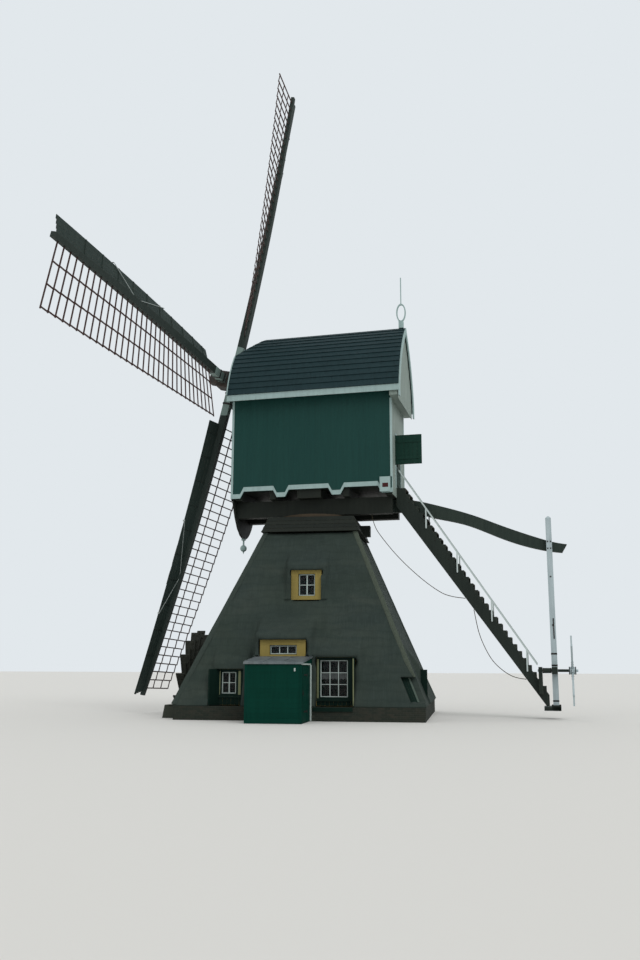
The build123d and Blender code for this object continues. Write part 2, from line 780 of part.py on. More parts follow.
# Side walls of the house, with their stepped lower edge and its white trim board
for side, name in ((1, "near"), (-1, "far")):
    with BuildPart() as side_wall:
        with BuildSketch(SIDE.offset(side * house_half)):
            with BuildLine():
                Polyline(*wall_foot(0), (house_back, wall_head_z), (-house_front, wall_head_z), close=True)
            make_face()
        extrude(amount=-side * house_wall)
    save(side_wall.part, f"house_wall_{name}")
with BuildPart() as wall_trim:
    for side in (1, -1):
        with BuildSketch(SIDE.offset(side * house_half)):
            with BuildLine():
                Polyline(*wall_foot(0), *reversed(wall_foot(trim_height)), close=True)
            make_face()
        extrude(amount=side * trim_thickness)
    with BuildSketch(SIDE.offset(house_half)):
        with Locations(((sill_box_from + sill_box_to) / 2, (sill_box_low + sill_box_high) / 2)):
            Rectangle(sill_box_to - sill_box_from, sill_box_high - sill_box_low)
    extrude(amount=sill_box_depth)
save(wall_trim.part, "wall_trim")


def under_roof(inset, low):
    """The cross-section under the curved roof, less an inset, down to a level."""
    with BuildSketch() as section:
        with BuildLine():
            Line((-eaves_half, 0), (-eaves_half, eaves_z))
            ThreePointArc((-eaves_half, eaves_z), (-roof_swell[0], roof_swell[1]), (0, ridge_z))
            ThreePointArc((0, ridge_z), roof_swell, (eaves_half, eaves_z))
            Polyline((eaves_half, eaves_z), (eaves_half, 0), (-eaves_half, 0))
        make_face()
        if inset:
            offset(amount=-inset, kind=Kind.INTERSECTION)
        with Locations((0, (low + ridge_z) / 2)):
            Rectangle(4 * eaves_half, ridge_z - low, mode=Mode.INTERSECT)
    return section.sketch


def hip_band(depth, lift):
    """The space from the front hip's plane down to a depth below it, right across the house."""
    steep = (ridge_z - hip_foot_z) / (roof_front - hip_ridge)
    front = (-roof_front - cut_margin, hip_foot_z - steep * cut_margin + lift)
    back = (-hip_ridge + cut_margin, ridge_z + steep * cut_margin + lift)
    with BuildPart() as band:
        with BuildSketch(SIDE.offset(-2 * eaves_half)):
            with BuildLine():
                Polyline(front, back, (back[0], back[1] - depth), (front[0], front[1] - depth), close=True)
            make_face()
        extrude(amount=4 * eaves_half)
    return band.part


roof_height = ridge_z - eaves_z
with BuildPart() as roof_shell:
    with BuildSketch(ACROSS.offset(-roof_front)):
        add(under_roof(0, eaves_z))
        add(under_roof(roof_thickness, eaves_z - cut_margin), mode=Mode.SUBTRACT)
    extrude(amount=roof_front + roof_back)
    add(hip_band(-roof_height, 0), mode=Mode.SUBTRACT)
for side, name in ((-1, "near"), (1, "far")):
    with BuildPart() as roof_side:
        add(roof_shell.part)
        with BuildSketch(HOUSE.offset(eaves_z - cut_margin)):
            with Locations((0, side * eaves_half)):
                Rectangle(4 * roof_back, 2 * eaves_half)
        extrude(amount=ridge_z, mode=Mode.INTERSECT)
    save(roof_side.part, f"roof_{name}")
with BuildPart() as front_hip:
    with BuildSketch(ACROSS.offset(-roof_front)):
        add(under_roof(roof_thickness + seat_gap, eaves_z))
    extrude(amount=roof_front - hip_ridge + cut_margin)
    add(hip_band(hip_depth, 0), mode=Mode.INTERSECT)
save(front_hip.part, "front_hip")

# Front wall: boarded up to the hip, open round the shaft; its lower end tapers to a point
shaft_drop = tan(radians(shaft_incline))


def shaft_z(x):
    """Height of the shaft's axis at a place along the house."""
    return hub_z - (x + hub_ahead) * shaft_drop


with BuildPart() as front_wall:
    with BuildSketch(ACROSS.offset(-house_front)):
        with Locations((0, (beam_top + wall_head_z) / 2)):
            Rectangle(2 * (house_half - house_wall), wall_head_z - beam_top)
        add(under_roof(roof_thickness + seat_gap, wall_head_z))
        with Locations((0, shaft_z(-house_front))):
            Circle(shaft_radius + shaft_hole_gap, mode=Mode.SUBTRACT)
    extrude(amount=house_wall)
    add(hip_band(-roof_height, -hip_depth - seat_gap), mode=Mode.SUBTRACT)
save(front_wall.part, "front_wall")
apron_face = -house_front + apron_setback
apron_top_half = house_half - house_wall
with BuildPart() as front_apron:
    with BuildSketch(ACROSS.offset(apron_face)):
        with BuildLine():
            Line((-apron_tip_half, apron_tip_z), (apron_tip_half, apron_tip_z))
            Spline((apron_tip_half, apron_tip_z), *reversed(apron_edge), (apron_top_half, wall_low))
            Polyline((apron_top_half, wall_low), (apron_top_half, beam_top), (-apron_top_half, beam_top),
                     (-apron_top_half, wall_low))
            Spline((-apron_top_half, wall_low), *[(-y, z) for y, z in apron_edge],
                   (-apron_tip_half, apron_tip_z))
        make_face()
    extrude(amount=apron_thickness)
save(front_apron.part, "front_apron")
with BuildPart() as pendant:
    with BuildSketch(SIDE):
        with BuildLine():
            axis_x = apron_face + apron_thickness / 2
            neck_x, ball_top = axis_x + pendant_neck, apron_tip_z - pendant_drop
            Polyline((axis_x, apron_tip_z), (axis_x + pendant_collar, apron_tip_z),
                     (axis_x + pendant_collar, apron_tip_z - pendant_ring),
                     (neck_x, apron_tip_z - pendant_ring), (neck_x, ball_top))
            ThreePointArc((neck_x, ball_top), (axis_x + pendant_ball, ball_top - pendant_ball),
                          (neck_x, ball_top - 2 * pendant_ball))
            Polyline((neck_x, ball_top - 2 * pendant_ball), (axis_x, apron_tip_z - pendant_length),
                     (axis_x, apron_tip_z))
        make_face()
    revolve(axis=Axis(SIDE.from_local_coords(Vector(axis_x, 0, 0)), (0, 0, 1)))
save(pendant.part, "pendant")

# Back wall with its two-part stair door: the lower leaf shut, the upper leaf standing open
with BuildPart() as back_wall:
    with BuildSketch(ACROSS.offset(house_back)):
        with Locations((0, (beam_top + wall_head_z) / 2)):
            Rectangle(2 * (house_half - house_wall), wall_head_z - beam_top)
        with Locations(((stair_door_near + stair_door_far) / 2, (floor_z + stair_door_top) / 2)):
            Rectangle(stair_door_far - stair_door_near, stair_door_top - floor_z, mode=Mode.SUBTRACT)
    extrude(amount=-house_wall)
save(back_wall.part, "back_wall")
leaf_width = stair_door_far - stair_door_near
with BuildPart() as stair_door:
    with BuildSketch(ACROSS.offset(house_back)):
        with Locations(((stair_door_near + stair_door_far) / 2, (floor_z + leaf_split) / 2)):
            Rectangle(leaf_width - 2 * seat_gap, leaf_split - floor_z - 2 * seat_gap)
    extrude(amount=-leaf_thickness)
    with BuildSketch(SIDE.offset(-stair_door_near)):
        with Locations((house_back + seat_gap + leaf_width / 2, (leaf_split + stair_door_top) / 2)):
            Rectangle(leaf_width, stair_door_top - leaf_split)
    extrude(amount=leaf_thickness)
save(stair_door.part, "stair_door")

# Rear gable: stands out over the back wall, with its soffit; curved boards follow the roof's edge
gable_face = roof_back - gable_setback
with BuildPart() as rear_gable:
    with BuildSketch(ACROSS.offset(gable_face)):
        add(under_roof(roof_thickness + seat_gap, wall_head_z - soffit_drop))
    extrude(amount=-gable_thickness)
    gable_half = eaves_half - roof_thickness - seat_gap
    gable_low = wall_head_z - soffit_drop
    side_top = eaves_z - eaves_soffit_level - eaves_soffit_depth / 2 - seat_gap
    with BuildSketch(ACROSS.offset(house_back)):
        with Locations((0, gable_low + soffit_depth / 2)):
            Rectangle(2 * gable_half, soffit_depth)
        for side in (-1, 1):
            with Locations((side * (gable_half - gable_side / 2), (gable_low + side_top) / 2)):
                Rectangle(gable_side, side_top - gable_low)
    extrude(amount=gable_face - house_back)
save(rear_gable.part, "rear_gable")
with BuildPart() as rear_bargeboard:
    with BuildSketch(ACROSS.offset(roof_back)):
        add(under_roof(0, eaves_z - barge_drop))
        add(under_roof(barge_depth, eaves_z - 2 * barge_drop), mode=Mode.SUBTRACT)
    extrude(amount=barge_thickness)
save(rear_bargeboard.part, "rear_bargeboard")

# Eaves: a white board under the roof's edge and a soffit back to the wall, on both sides
with BuildPart() as eaves_boards:
    for side in (-1, 1):
        with BuildSketch(ACROSS.offset(-roof_front)):
            board_middle = eaves_half - eaves_board_thickness / 2
            with Locations((side * board_middle, eaves_z - eaves_board_height / 2)):
                Rectangle(eaves_board_thickness, eaves_board_height)
        extrude(amount=roof_front + roof_back - seat_gap)
        with BuildSketch(ACROSS.offset(-roof_front)):
            with Locations((side * (eaves_half + house_half) / 2, eaves_z - eaves_soffit_level)):
                Rectangle(eaves_half - house_half, eaves_soffit_depth)
        extrude(amount=roof_front + gable_face - gable_thickness - seat_gap)
save(eaves_boards.part, "eaves_boards")

# Finial on the rear end of the ridge: a base, an open oval and a rod
with BuildPart() as finial:
    with BuildSketch(SIDE.offset(-finial_size / 2)):
        with Locations((finial_at, ridge_z + finial_base / 2 - finial_seat)):
            Rectangle(finial_size, finial_base + 2 * finial_seat)
    extrude(amount=finial_size)
    with BuildSketch(HOUSE.offset(ridge_z - 2 * finial_seat)):
        with Locations((finial_at, 0)):
            Rectangle(2 * finial_size, 2 * finial_size)
    extrude(amount=2 * finial_seat, mode=Mode.SUBTRACT)
    with BuildSketch(SIDE.offset(-finial_ring_depth / 2)):
        with Locations((finial_at, ridge_z + finial_base + finial_oval - finial_root)):
            Ellipse(finial_oval_half, finial_oval)
            Ellipse(finial_oval_half - finial_side_rim, finial_oval - finial_end_rim, mode=Mode.SUBTRACT)
    extrude(amount=finial_ring_depth)
    rod_low = ridge_z + finial_base + 2 * finial_oval - 2 * finial_root
    with BuildSketch(HOUSE.offset(rod_low)):
        with Locations((finial_at, 0)):
            Circle(finial_rod_radius)
    extrude(amount=finial_top - rod_low)
save(finial.part, "finial")

# Shaft: a round timber with a square iron head that holds both stocks and ends in a nose
with BuildPart(SHAFT) as windshaft:
    shaft_length = (hub_ahead + shaft_tail) / cos(radians(shaft_incline))
    with BuildSketch(SHAFT.offset(-shaft_length)):
        Circle(shaft_radius)
    extrude(amount=shaft_length - poll_back)
    with BuildSketch(sail_frame(0, -poll_back)):
        Rectangle(2 * poll_half, 2 * poll_half)
    extrude(amount=poll_back + poll_front)
    with BuildSketch(sail_frame(0, poll_front)):
        Rectangle(2 * nose_half, 2 * nose_half)
    extrude(amount=nose_reach - poll_front)
    for index, lift in ((0, stock_gap), (1, -stock_gap)):
        with BuildSketch(sail_frame(index, lift - stock_hub_depth / 2 - seat_gap)):
            Rectangle(3 * poll_half, stock_hub_width + 2 * seat_gap)
        extrude(amount=stock_hub_depth + seat_gap + stock_slack, mode=Mode.SUBTRACT)
save(windshaft.part, "windshaft")
with BuildPart(HOUSE) as shaft_beams:
    for place, depth, height in ((-house_front + house_wall, neck_beam_depth, neck_beam_height),
                                 (tail_bearing_at, tail_bearing_depth, tail_bearing_height)):
        with Locations((place + depth / 2, 0, shaft_z(place + depth / 2) - height / 2)):
            Box(depth, 2 * (house_half - house_wall - seat_gap), height)
    with BuildSketch(SHAFT.offset(-shaft_length - cut_margin)):
        Circle(shaft_radius + running_gap)
    extrude(amount=shaft_length, mode=Mode.SUBTRACT)
save(shaft_beams.part, "shaft_beams")

# Sails. In a blade's own frame x runs out along the stock, y to the leading side, z forward
BLADE_NAMES = ("near", "top", "far", "bottom")


def sheer(r):
    """How far the stock has curved forward at a distance from the hub."""
    return stock_sheer * (r / sail_length) ** 2


def stock_half(r):
    """Half the stock's width at a distance from the hub."""
    return (stock_hub_width - (stock_hub_width - stock_tip_width) * r / sail_length) / 2


def twist(r):
    """The lattice's angle to the plane of the sails, in degrees."""
    return twist_root + (twist_tip - twist_root) * (r - lattice_start) / (sail_length - lattice_start)


with BuildPart() as stock_form:
    hub_face, tip_face = stock_hub_depth / 2, stock_tip_depth / 2
    with BuildSketch(Plane.XZ.offset(-stock_hub_width)):
        with BuildLine():
            back_left = (-sail_length, stock_sheer - tip_face)
            back_right = (sail_length, stock_sheer - tip_face)
            front_left = (-sail_length, stock_sheer + tip_face)
            front_right = (sail_length, stock_sheer + tip_face)
            ThreePointArc(back_left, (0, -hub_face), back_right)
            Line(back_right, front_right)
            ThreePointArc(front_right, (0, hub_face), front_left)
            Line(front_left, back_left)
        make_face()
    extrude(amount=2 * stock_hub_width)
    with BuildSketch(Plane.XY.offset(-stock_sheer)):
        with BuildLine():
            hub_edge, tip_edge = stock_hub_width / 2, stock_tip_width / 2
            Polyline((-sail_length, -tip_edge), (0, -hub_edge), (sail_length, -tip_edge),
                     (sail_length, tip_edge), (0, hub_edge), (-sail_length, tip_edge), close=True)
        make_face()
    extrude(amount=4 * stock_sheer, mode=Mode.INTERSECT)


def bar_start(r, thickness):
    """Where a twisted bar may begin so that its end just clears the stock's side."""
    angle = radians(twist(r))
    return (stock_half(r) + seat_gap + thickness / 2 * sin(angle)) / cos(angle)


def bar_frame(r):
    """x along a bar to the trailing side, z out along the stock, on the stock's curve."""
    angle = radians(twist(r))
    return Plane(origin=(r, 0, sheer(r)), x_dir=(0, -cos(angle), -sin(angle)), z_dir=(1, 0, 0))


bar_places = [lattice_start + lattice_pitch * step for step in range(lattice_bars)]
with BuildPart() as lattice_form:
    for r in bar_places:
        begin = bar_start(r, bar_thickness)
        with Locations(bar_frame(r)):
            with Locations(((begin + lattice_width) / 2, 0, 0)):
                Box(lattice_width - begin, bar_thickness, bar_width)
    for row in range(1, lath_rows + 1):
        along = (lattice_width - lath_width) * row / lath_rows
        points = [bar_frame(r).from_local_coords(Vector(along, 0, 0)) for r in bar_places]
        runs = [Plane(origin=(a + b) * 0.5, x_dir=b - a, z_dir=bar_frame(r).y_dir)
                for a, b, r in zip(points, points[1:], bar_places)]
        with Locations(*runs):
            Box(lattice_pitch + lath_lap, lath_width, lath_thickness)

board_length = (sail_length - board_start) / board_count


def board_angle(step):
    """A board's angle to the plane of the sails, in radians."""
    return radians(twist(board_start + board_length * (step + 0.5)) + board_lift)


def board_begin(step):
    """Where a board may begin so that its edge just clears the stock's side."""
    angle = board_angle(step)
    clear = stock_half(board_start + board_length * step) + seat_gap
    return (clear + board_thickness / 2 * sin(angle)) / cos(angle)


def board_frame(step):
    """x along a board and out from the hub, y to the leading side, z forward out of the board."""
    middle = board_start + board_length * (step + 0.5)
    across = Vector(0, cos(board_angle(step)), sin(board_angle(step)))
    along = Vector(1, 0, 2 * stock_sheer * middle / sail_length ** 2)
    return Plane(origin=(middle, 0, sheer(middle)), x_dir=along, z_dir=along.cross(across))


with BuildPart() as boards_form:
    for step in range(board_count):
        with Locations(board_frame(step)):
            with Locations((0, board_begin(step) + board_width / 2, 0)):
                Box(board_length - board_joint, board_width, board_thickness)

# Furled cloths lie in front of the inner boards, one straight roll on each board
with BuildPart() as cloth_form:
    for step in range(cloth_boards):
        with Locations(board_frame(step)):
            ahead = board_thickness / 2 + cloth_radius + seat_gap
            with Locations((0, board_begin(step) + cloth_across, ahead)):
                Cylinder(cloth_radius, board_length - board_joint, rotation=(0, 90, 0))
                if step < cloth_boards - 1:
                    Cylinder(cloth_core, board_length + 2 * board_joint, rotation=(0, 90, 0))

cloths = []
for index, name in enumerate(BLADE_NAMES):
    blade = sail_frame(index, stock_gap if index % 2 == 0 else -stock_gap)
    for form, kind in ((lattice_form, "lattice"), (boards_form, "boards")):
        with BuildPart() as copy:
            with Locations(blade.location):
                add(form.part)
        save(copy.part, f"{name}_sail_{kind}")
    cloths.append(blade.location * cloth_form.part)
    if index < 2:
        with BuildPart() as stock:
            with Locations(blade.location):
                add(stock_form.part)
        save(stock.part, "outer_stock" if index == 0 else "inner_stock")

with BuildPart() as sail_cloths:
    add(cloths)
save(sail_cloths.part, "sail_cloths")

# Tail beam: straight under the house, then an S-curve out to the tail post
tail_beam_low = under_beams - tail_beam_depth
with BuildPart() as tail_beam:
    with BuildSketch(SIDE.offset(-tail_beam_half)):
        with BuildLine():
            Line((tail_beam_from, under_beams), (house_back, under_beams))
            Spline((house_back, under_beams), *tail_beam_upper, tangents=((1, 0), (1, -tail_beam_dips[0])))
            Line(tail_beam_upper[-1], tail_beam_lower[-1])
            Spline(*reversed(tail_beam_lower), (house_back, tail_beam_low),
                   tangents=((-1, tail_beam_dips[1]), (-1, 0)))
            Polyline((house_back, tail_beam_low), (tail_beam_from, tail_beam_low),
                     (tail_beam_from, under_beams))
        make_face()
    extrude(amount=2 * tail_beam_half)
save(tail_beam.part, "tail_beam")

# Foot beam, tail post on it and beside the tail beam
post_y = -tail_beam_half - tail_post_size / 2
foot_top = foot_beam_low + foot_beam_depth
with BuildPart(HOUSE) as tail_post:
    with Locations((tail_post_at, post_y, (foot_top + tail_post_top) / 2)):
        Box(tail_post_size, tail_post_size, tail_post_top - foot_top)
    with Locations(((foot_beam_from + foot_beam_to) / 2, 0, foot_beam_low + foot_beam_depth / 2)):
        Box(foot_beam_to - foot_beam_from, 2 * stair_half, foot_beam_depth)
    chamfer(tail_post.faces().sort_by(Axis.Z)[-1].edges(), tail_post_chamfer)
save(tail_post.part, "tail_post")

# Stair: two strings, open treads between them, cut away round the tail beam
stair_slope = (stair_top[1] - stair_foot[1]) / (stair_foot[0] - stair_top[0])


def nose_line(x):
    """Height of the line through the treads' front edges."""
    return stair_top[1] - stair_slope * (x - stair_top[0])


with BuildPart() as stair_strings:
    for side in (1, -1):
        with BuildSketch(SIDE.offset(side * stair_half)):
            with BuildLine():
                top_x = stair_top[0] - string_drop / stair_slope
                end_x = string_low[1][0]
                slope = (string_low[0][1] - string_low[1][1]) / (string_low[1][0] - string_low[0][0])
                heel_x = end_x - (foot_top - string_low[1][1]) / slope
                back_z = string_low[0][1] + slope * (string_low[0][0] - house_back)
                Polyline((house_back, stair_top[1]), (top_x, stair_top[1]),
                         (end_x, nose_line(end_x) - string_drop), (end_x, foot_top), (heel_x, foot_top),
                         (house_back, back_z), close=True)
            make_face()
        extrude(amount=-side * string_width)
save(stair_strings.part, "stair_strings")
tread_step = (stair_foot[0] - stair_top[0]) / (tread_count - 1)
tread_half = stair_half - string_width
with BuildPart() as treads:
    for step in range(tread_count):
        nose = stair_top[0] + tread_step * step
        with BuildSketch(SIDE.offset(-tread_half)):
            with Locations((nose - tread_depth / 2, nose_line(nose) - tread_thickness / 2)):
                Rectangle(tread_depth, tread_thickness)
        extrude(amount=2 * tread_half)
    with BuildSketch(SIDE.offset(-tail_beam_half - moving_gap)):
        with BuildLine():
            Line((house_back, under_beams + moving_gap), (house_back, tail_beam_low - moving_gap))
            Spline((house_back, tail_beam_low - moving_gap),
                   *[(x, z - moving_gap) for x, z in tail_beam_lower],
                   tangents=((1, 0), (1, -tail_beam_dips[1])))
            Line((tail_beam_lower[-1][0], tail_beam_lower[-1][1] - moving_gap),
                 (tail_beam_upper[-1][0], tail_beam_upper[-1][1] + moving_gap))
            Spline(*[(x, z + moving_gap) for x, z in reversed(tail_beam_upper)],
                   (house_back, under_beams + moving_gap), tangents=((-1, tail_beam_dips[0]), (-1, 0)))
        make_face()
    extrude(amount=2 * (tail_beam_half + moving_gap), mode=Mode.SUBTRACT)
save(treads.part, "stair_treads")
with BuildPart() as handrails:
    for side in (1, -1):
        with BuildSketch(SIDE.offset(side * stair_half)):
            with BuildLine():
                high_z, low_z = nose_line(rail_from) + rail_height, nose_line(rail_to) + rail_height
                Polyline((rail_from, high_z), (rail_to, low_z), (rail_to, low_z - 2 * rail_size),
                         (rail_from, high_z - 2 * rail_size), close=True)
            make_face()
            for x in rail_posts:
                low, high = nose_line(x) - string_drop - rail_lap, nose_line(x) + rail_height - rail_size
                with Locations((x, (low + high) / 2)):
                    Rectangle(rail_size, high - low)
        extrude(amount=side * rail_size)
save(handrails.part, "handrails")

# Winding winch: two bearing blocks, and a spoked wheel on its axle
post_face = post_y - tail_post_size / 2
axle_y = post_face - axle_beside
block_face = axle_y - block_beyond
block_at = tail_post_at - block_inward
with BuildPart(HOUSE) as winch_bearings:
    with Locations((tail_post_at, (post_face + block_face) / 2, axle_z)):
        Box(tail_post_size, post_face - block_face, 2 * block_above)
    with Locations((block_at, (block_face - stair_half) / 2, (block_low + axle_z + block_above) / 2)):
        Box(block_length, -block_face - stair_half, axle_z + block_above - block_low)
    with BuildSketch(ACROSS.offset(block_at - block_length)):
        with Locations((axle_y, axle_z)):
            Circle(journal_radius + running_gap)
    extrude(amount=block_inward + block_length + tail_post_size, mode=Mode.SUBTRACT)
save(winch_bearings.part, "winch_bearings")


def on_axle(start, end, radius):
    """A round piece of the axle between two places along the house."""
    with BuildPart() as piece:
        with BuildSketch(ACROSS.offset(start)):
            with Locations((axle_y, axle_z)):
                Circle(radius)
        extrude(amount=end - start)
    return piece.part


wheel_at = tail_post_at + wheel_outward
with BuildPart() as winding_wheel:
    add(on_axle(tail_post_at - axle_inward, tail_post_at + axle_outward, journal_radius))
    barrel_from, barrel_to = block_at + block_length / 2, tail_post_at - tail_post_size / 2
    add(on_axle(barrel_from + moving_gap, barrel_to - moving_gap, axle_radius))
    add(on_axle(wheel_at - hub_length / 2, wheel_at + hub_length / 2, hub_radius))
    with BuildSketch(ACROSS.offset(wheel_at - spoke_thickness / 2)):
        with Locations((axle_y, axle_z)):
            turns = [Location((0, 0, 0), (0, 0, 360 / wheel_spokes * k)) for k in range(wheel_spokes // 2)]
            with Locations(*turns):
                Rectangle(2 * wheel_radius, spoke_width)
    extrude(amount=spoke_thickness)
save(winding_wheel.part, "winding_wheel")

# Ropes that hang between the house and the stair
for name, route in (("brake_rope", brake_rope_route), ("hand_rope", hand_rope_route)):
    points = [HOUSE.from_local_coords(Vector(*point)) for point in route]
    runs = [(b - a).length for a, b in zip(points, points[1:])]
    turns = [(b - a).get_angle(c - b) for a, b, c in zip(points, points[1:], points[2:])]
    radii = [0.45 * min(before, after) / tan(radians(turn) / 2)
             for before, after, turn in zip(runs, runs[1:], turns)]
    print(name, "bend radii", [round(radius) for radius in radii])
    with BuildPart() as rope:
        with BuildLine() as path:
            FilletPolyline(*points, radius=radii)
        with BuildSketch(Plane(origin=points[0], z_dir=points[1] - points[0])):
            Circle(rope_radius)
        sweep(path=path.line)
    print(name, "volume over section times length",
          round(rope.part.volume / (pi * rope_radius ** 2 * sum(edge.length for edge in path.edges())), 4))
    save(rope.part, name)
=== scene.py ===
from math import cos, pi, radians, sin

import bmesh
import bpy
from mathutils import Matrix, Vector, noise


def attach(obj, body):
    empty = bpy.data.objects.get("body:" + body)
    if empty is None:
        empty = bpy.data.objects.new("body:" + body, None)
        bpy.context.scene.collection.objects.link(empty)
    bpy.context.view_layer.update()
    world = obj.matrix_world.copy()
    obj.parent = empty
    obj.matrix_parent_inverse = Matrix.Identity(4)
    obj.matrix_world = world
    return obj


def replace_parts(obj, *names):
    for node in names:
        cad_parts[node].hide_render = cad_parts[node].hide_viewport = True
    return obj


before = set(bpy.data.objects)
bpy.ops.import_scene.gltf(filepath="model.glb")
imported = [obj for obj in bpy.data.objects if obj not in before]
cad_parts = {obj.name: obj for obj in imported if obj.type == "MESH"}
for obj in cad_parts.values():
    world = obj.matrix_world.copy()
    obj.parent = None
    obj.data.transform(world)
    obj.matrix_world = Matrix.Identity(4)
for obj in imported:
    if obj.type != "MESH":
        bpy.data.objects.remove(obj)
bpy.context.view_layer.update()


# The camera stands where the photograph was taken: low in front of the tower, a little to its
# right, looking up at the mill.
def moved(x, y, z):
    """A move, as a matrix."""
    return Matrix.Translation((x, y, z))


def turned(degrees, axis):
    """A turn about an axis, as a matrix."""
    return Matrix.Rotation(radians(degrees), 4, axis)


camera_data = bpy.data.cameras.new("photograph")
camera_data.sensor_fit = "VERTICAL"
camera_data.sensor_height = 36
camera_data.lens = 35.094
camera_data.clip_end = 900
camera = bpy.data.objects.new("photograph", camera_data)
camera.matrix_world = (moved(5.899, -37.267, 1.78)
                       @ turned(8.849, "Z") @ turned(101.401, "X") @ turned(0.187, "Z"))
bpy.context.scene.collection.objects.link(camera)
bpy.context.scene.camera = camera
bpy.context.scene.view_settings.view_transform = "Standard"


# Light: an even sky from all round, and one broad soft lamp high on the right. What the camera,
# gloss and glass see of the sky is pale.
def feed(tree, socket, value):
    """Gives a socket a link, or a value of its own."""
    if isinstance(value, bpy.types.NodeSocket):
        tree.links.new(value, socket)
    else:
        socket.default_value = value


def put(tree, kind, inputs=None, **settings):
    """A shader node with its settings, and a value or a link for each named input."""
    node = tree.nodes.new("ShaderNode" + kind)
    for key, value in settings.items():
        setattr(node, key, value)
    for key, value in (inputs or {}).items():
        feed(tree, node.inputs[key], value)
    return node


def paint(red, green, blue):
    """A colour as a screen shows it, 0 to 255, turned into light."""
    parts = [part / 255 for part in (red, green, blue)]
    return (*[part / 12.92 if part < 0.04045 else ((part + 0.055) / 1.055) ** 2.4 for part in parts], 1)


world = bpy.data.worlds.new("sky")
bpy.context.scene.world = world
world.use_nodes = True
sky = world.node_tree
sky.nodes.clear()
rays = put(sky, "LightPath").outputs
seen = put(sky, "Math", {0: rays["Is Camera Ray"], 1: rays["Is Glossy Ray"]},
           operation="MAXIMUM").outputs[0]
seen = put(sky, "Math", {0: seen, 1: rays["Is Transmission Ray"]}, operation="MAXIMUM").outputs[0]
light = put(sky, "Background", {"Color": (1, 1, 1, 1), "Strength": 0.8}).outputs[0]
shown = put(sky, "Background", {"Color": paint(226, 232, 236), "Strength": 1}).outputs[0]
both = put(sky, "MixShader", {0: seen, 1: light, 2: shown}).outputs[0]
put(sky, "OutputWorld", {"Surface": both})
lamp_data = bpy.data.lights.new("soft_lamp", "SUN")
lamp_data.energy = 0.9
lamp_data.angle = radians(35)
lamp = bpy.data.objects.new("soft_lamp", lamp_data)
lamp.rotation_euler = (radians(48), 0, radians(38))
bpy.context.scene.collection.objects.link(lamp)

# The floor is plain and pale, and only catches the shadow.
floor_reach, floor_below = 400, 0.002
floor_mesh = bpy.data.meshes.new("floor")
floor_mesh.from_pydata([(x * floor_reach, y * floor_reach, 0)
                        for x, y in ((-1, -1), (1, -1), (1, 1), (-1, 1))], [], [(0, 1, 2, 3)])
floor = bpy.data.objects.new("floor", floor_mesh)
floor.location.z = -floor_below
bpy.context.scene.collection.objects.link(floor)
floor_paint = bpy.data.materials.new("floor")
floor_paint.use_nodes = True
floor_shader = floor_paint.node_tree.nodes["Principled BSDF"]
floor_shader.inputs["Base Color"].default_value = paint(214, 214, 210)
floor_shader.inputs["Roughness"].default_value = 0.95
floor_mesh.materials.append(floor_paint)


# Marks of wind and rain that all surfaces share: soft patches, and streaks that run down. Every
# material starts as a Finish, and takes the marks it needs.
def effect(name, inputs, outputs):
    """An empty group of shader nodes, with the sockets that its inside starts and ends in."""
    group = bpy.data.node_groups.new(name, "ShaderNodeTree")
    for label, kind, value in inputs:
        socket = group.interface.new_socket(label, in_out="INPUT", socket_type="NodeSocket" + kind)
        if value is not None:
            socket.default_value = value
    for label in outputs:
        group.interface.new_socket(label, in_out="OUTPUT", socket_type="NodeSocketFloat")
    return group, group.nodes.new("NodeGroupInput").outputs, group.nodes.new("NodeGroupOutput").inputs


def between(tree, value, low, high, to_low=0.0, to_high=1.0):
    """A value stretched from one range to another, and held inside it."""
    inputs = {"Value": value, "From Min": low, "From Max": high, "To Min": to_low, "To Max": to_high}
    return put(tree, "MapRange", inputs).outputs[0]


patches, given, made = effect("patches", [("Place", "Vector", None), ("Size", "Float", 1.0)], ["Mask"])
tone = put(patches, "TexNoise", {"Vector": given["Place"], "Scale": given["Size"], "Detail": 5.0,
                                 "Roughness": 0.6})
patches.links.new(between(patches, tone.outputs[0], 0.35, 0.65), made["Mask"])

streaks, given, made = effect("rain_streaks", [("Place", "Vector", None), ("Size", "Float", 1.0)], ["Mask"])
tall = put(streaks, "Mapping", {"Vector": given["Place"], "Scale": (9, 9, 0.7)}).outputs[0]
fine = put(streaks, "TexNoise", {"Vector": tall, "Scale": given["Size"], "Detail": 4.0, "Roughness": 0.65})
streaks.links.new(between(streaks, fine.outputs[0], 0.42, 0.72), made["Mask"])


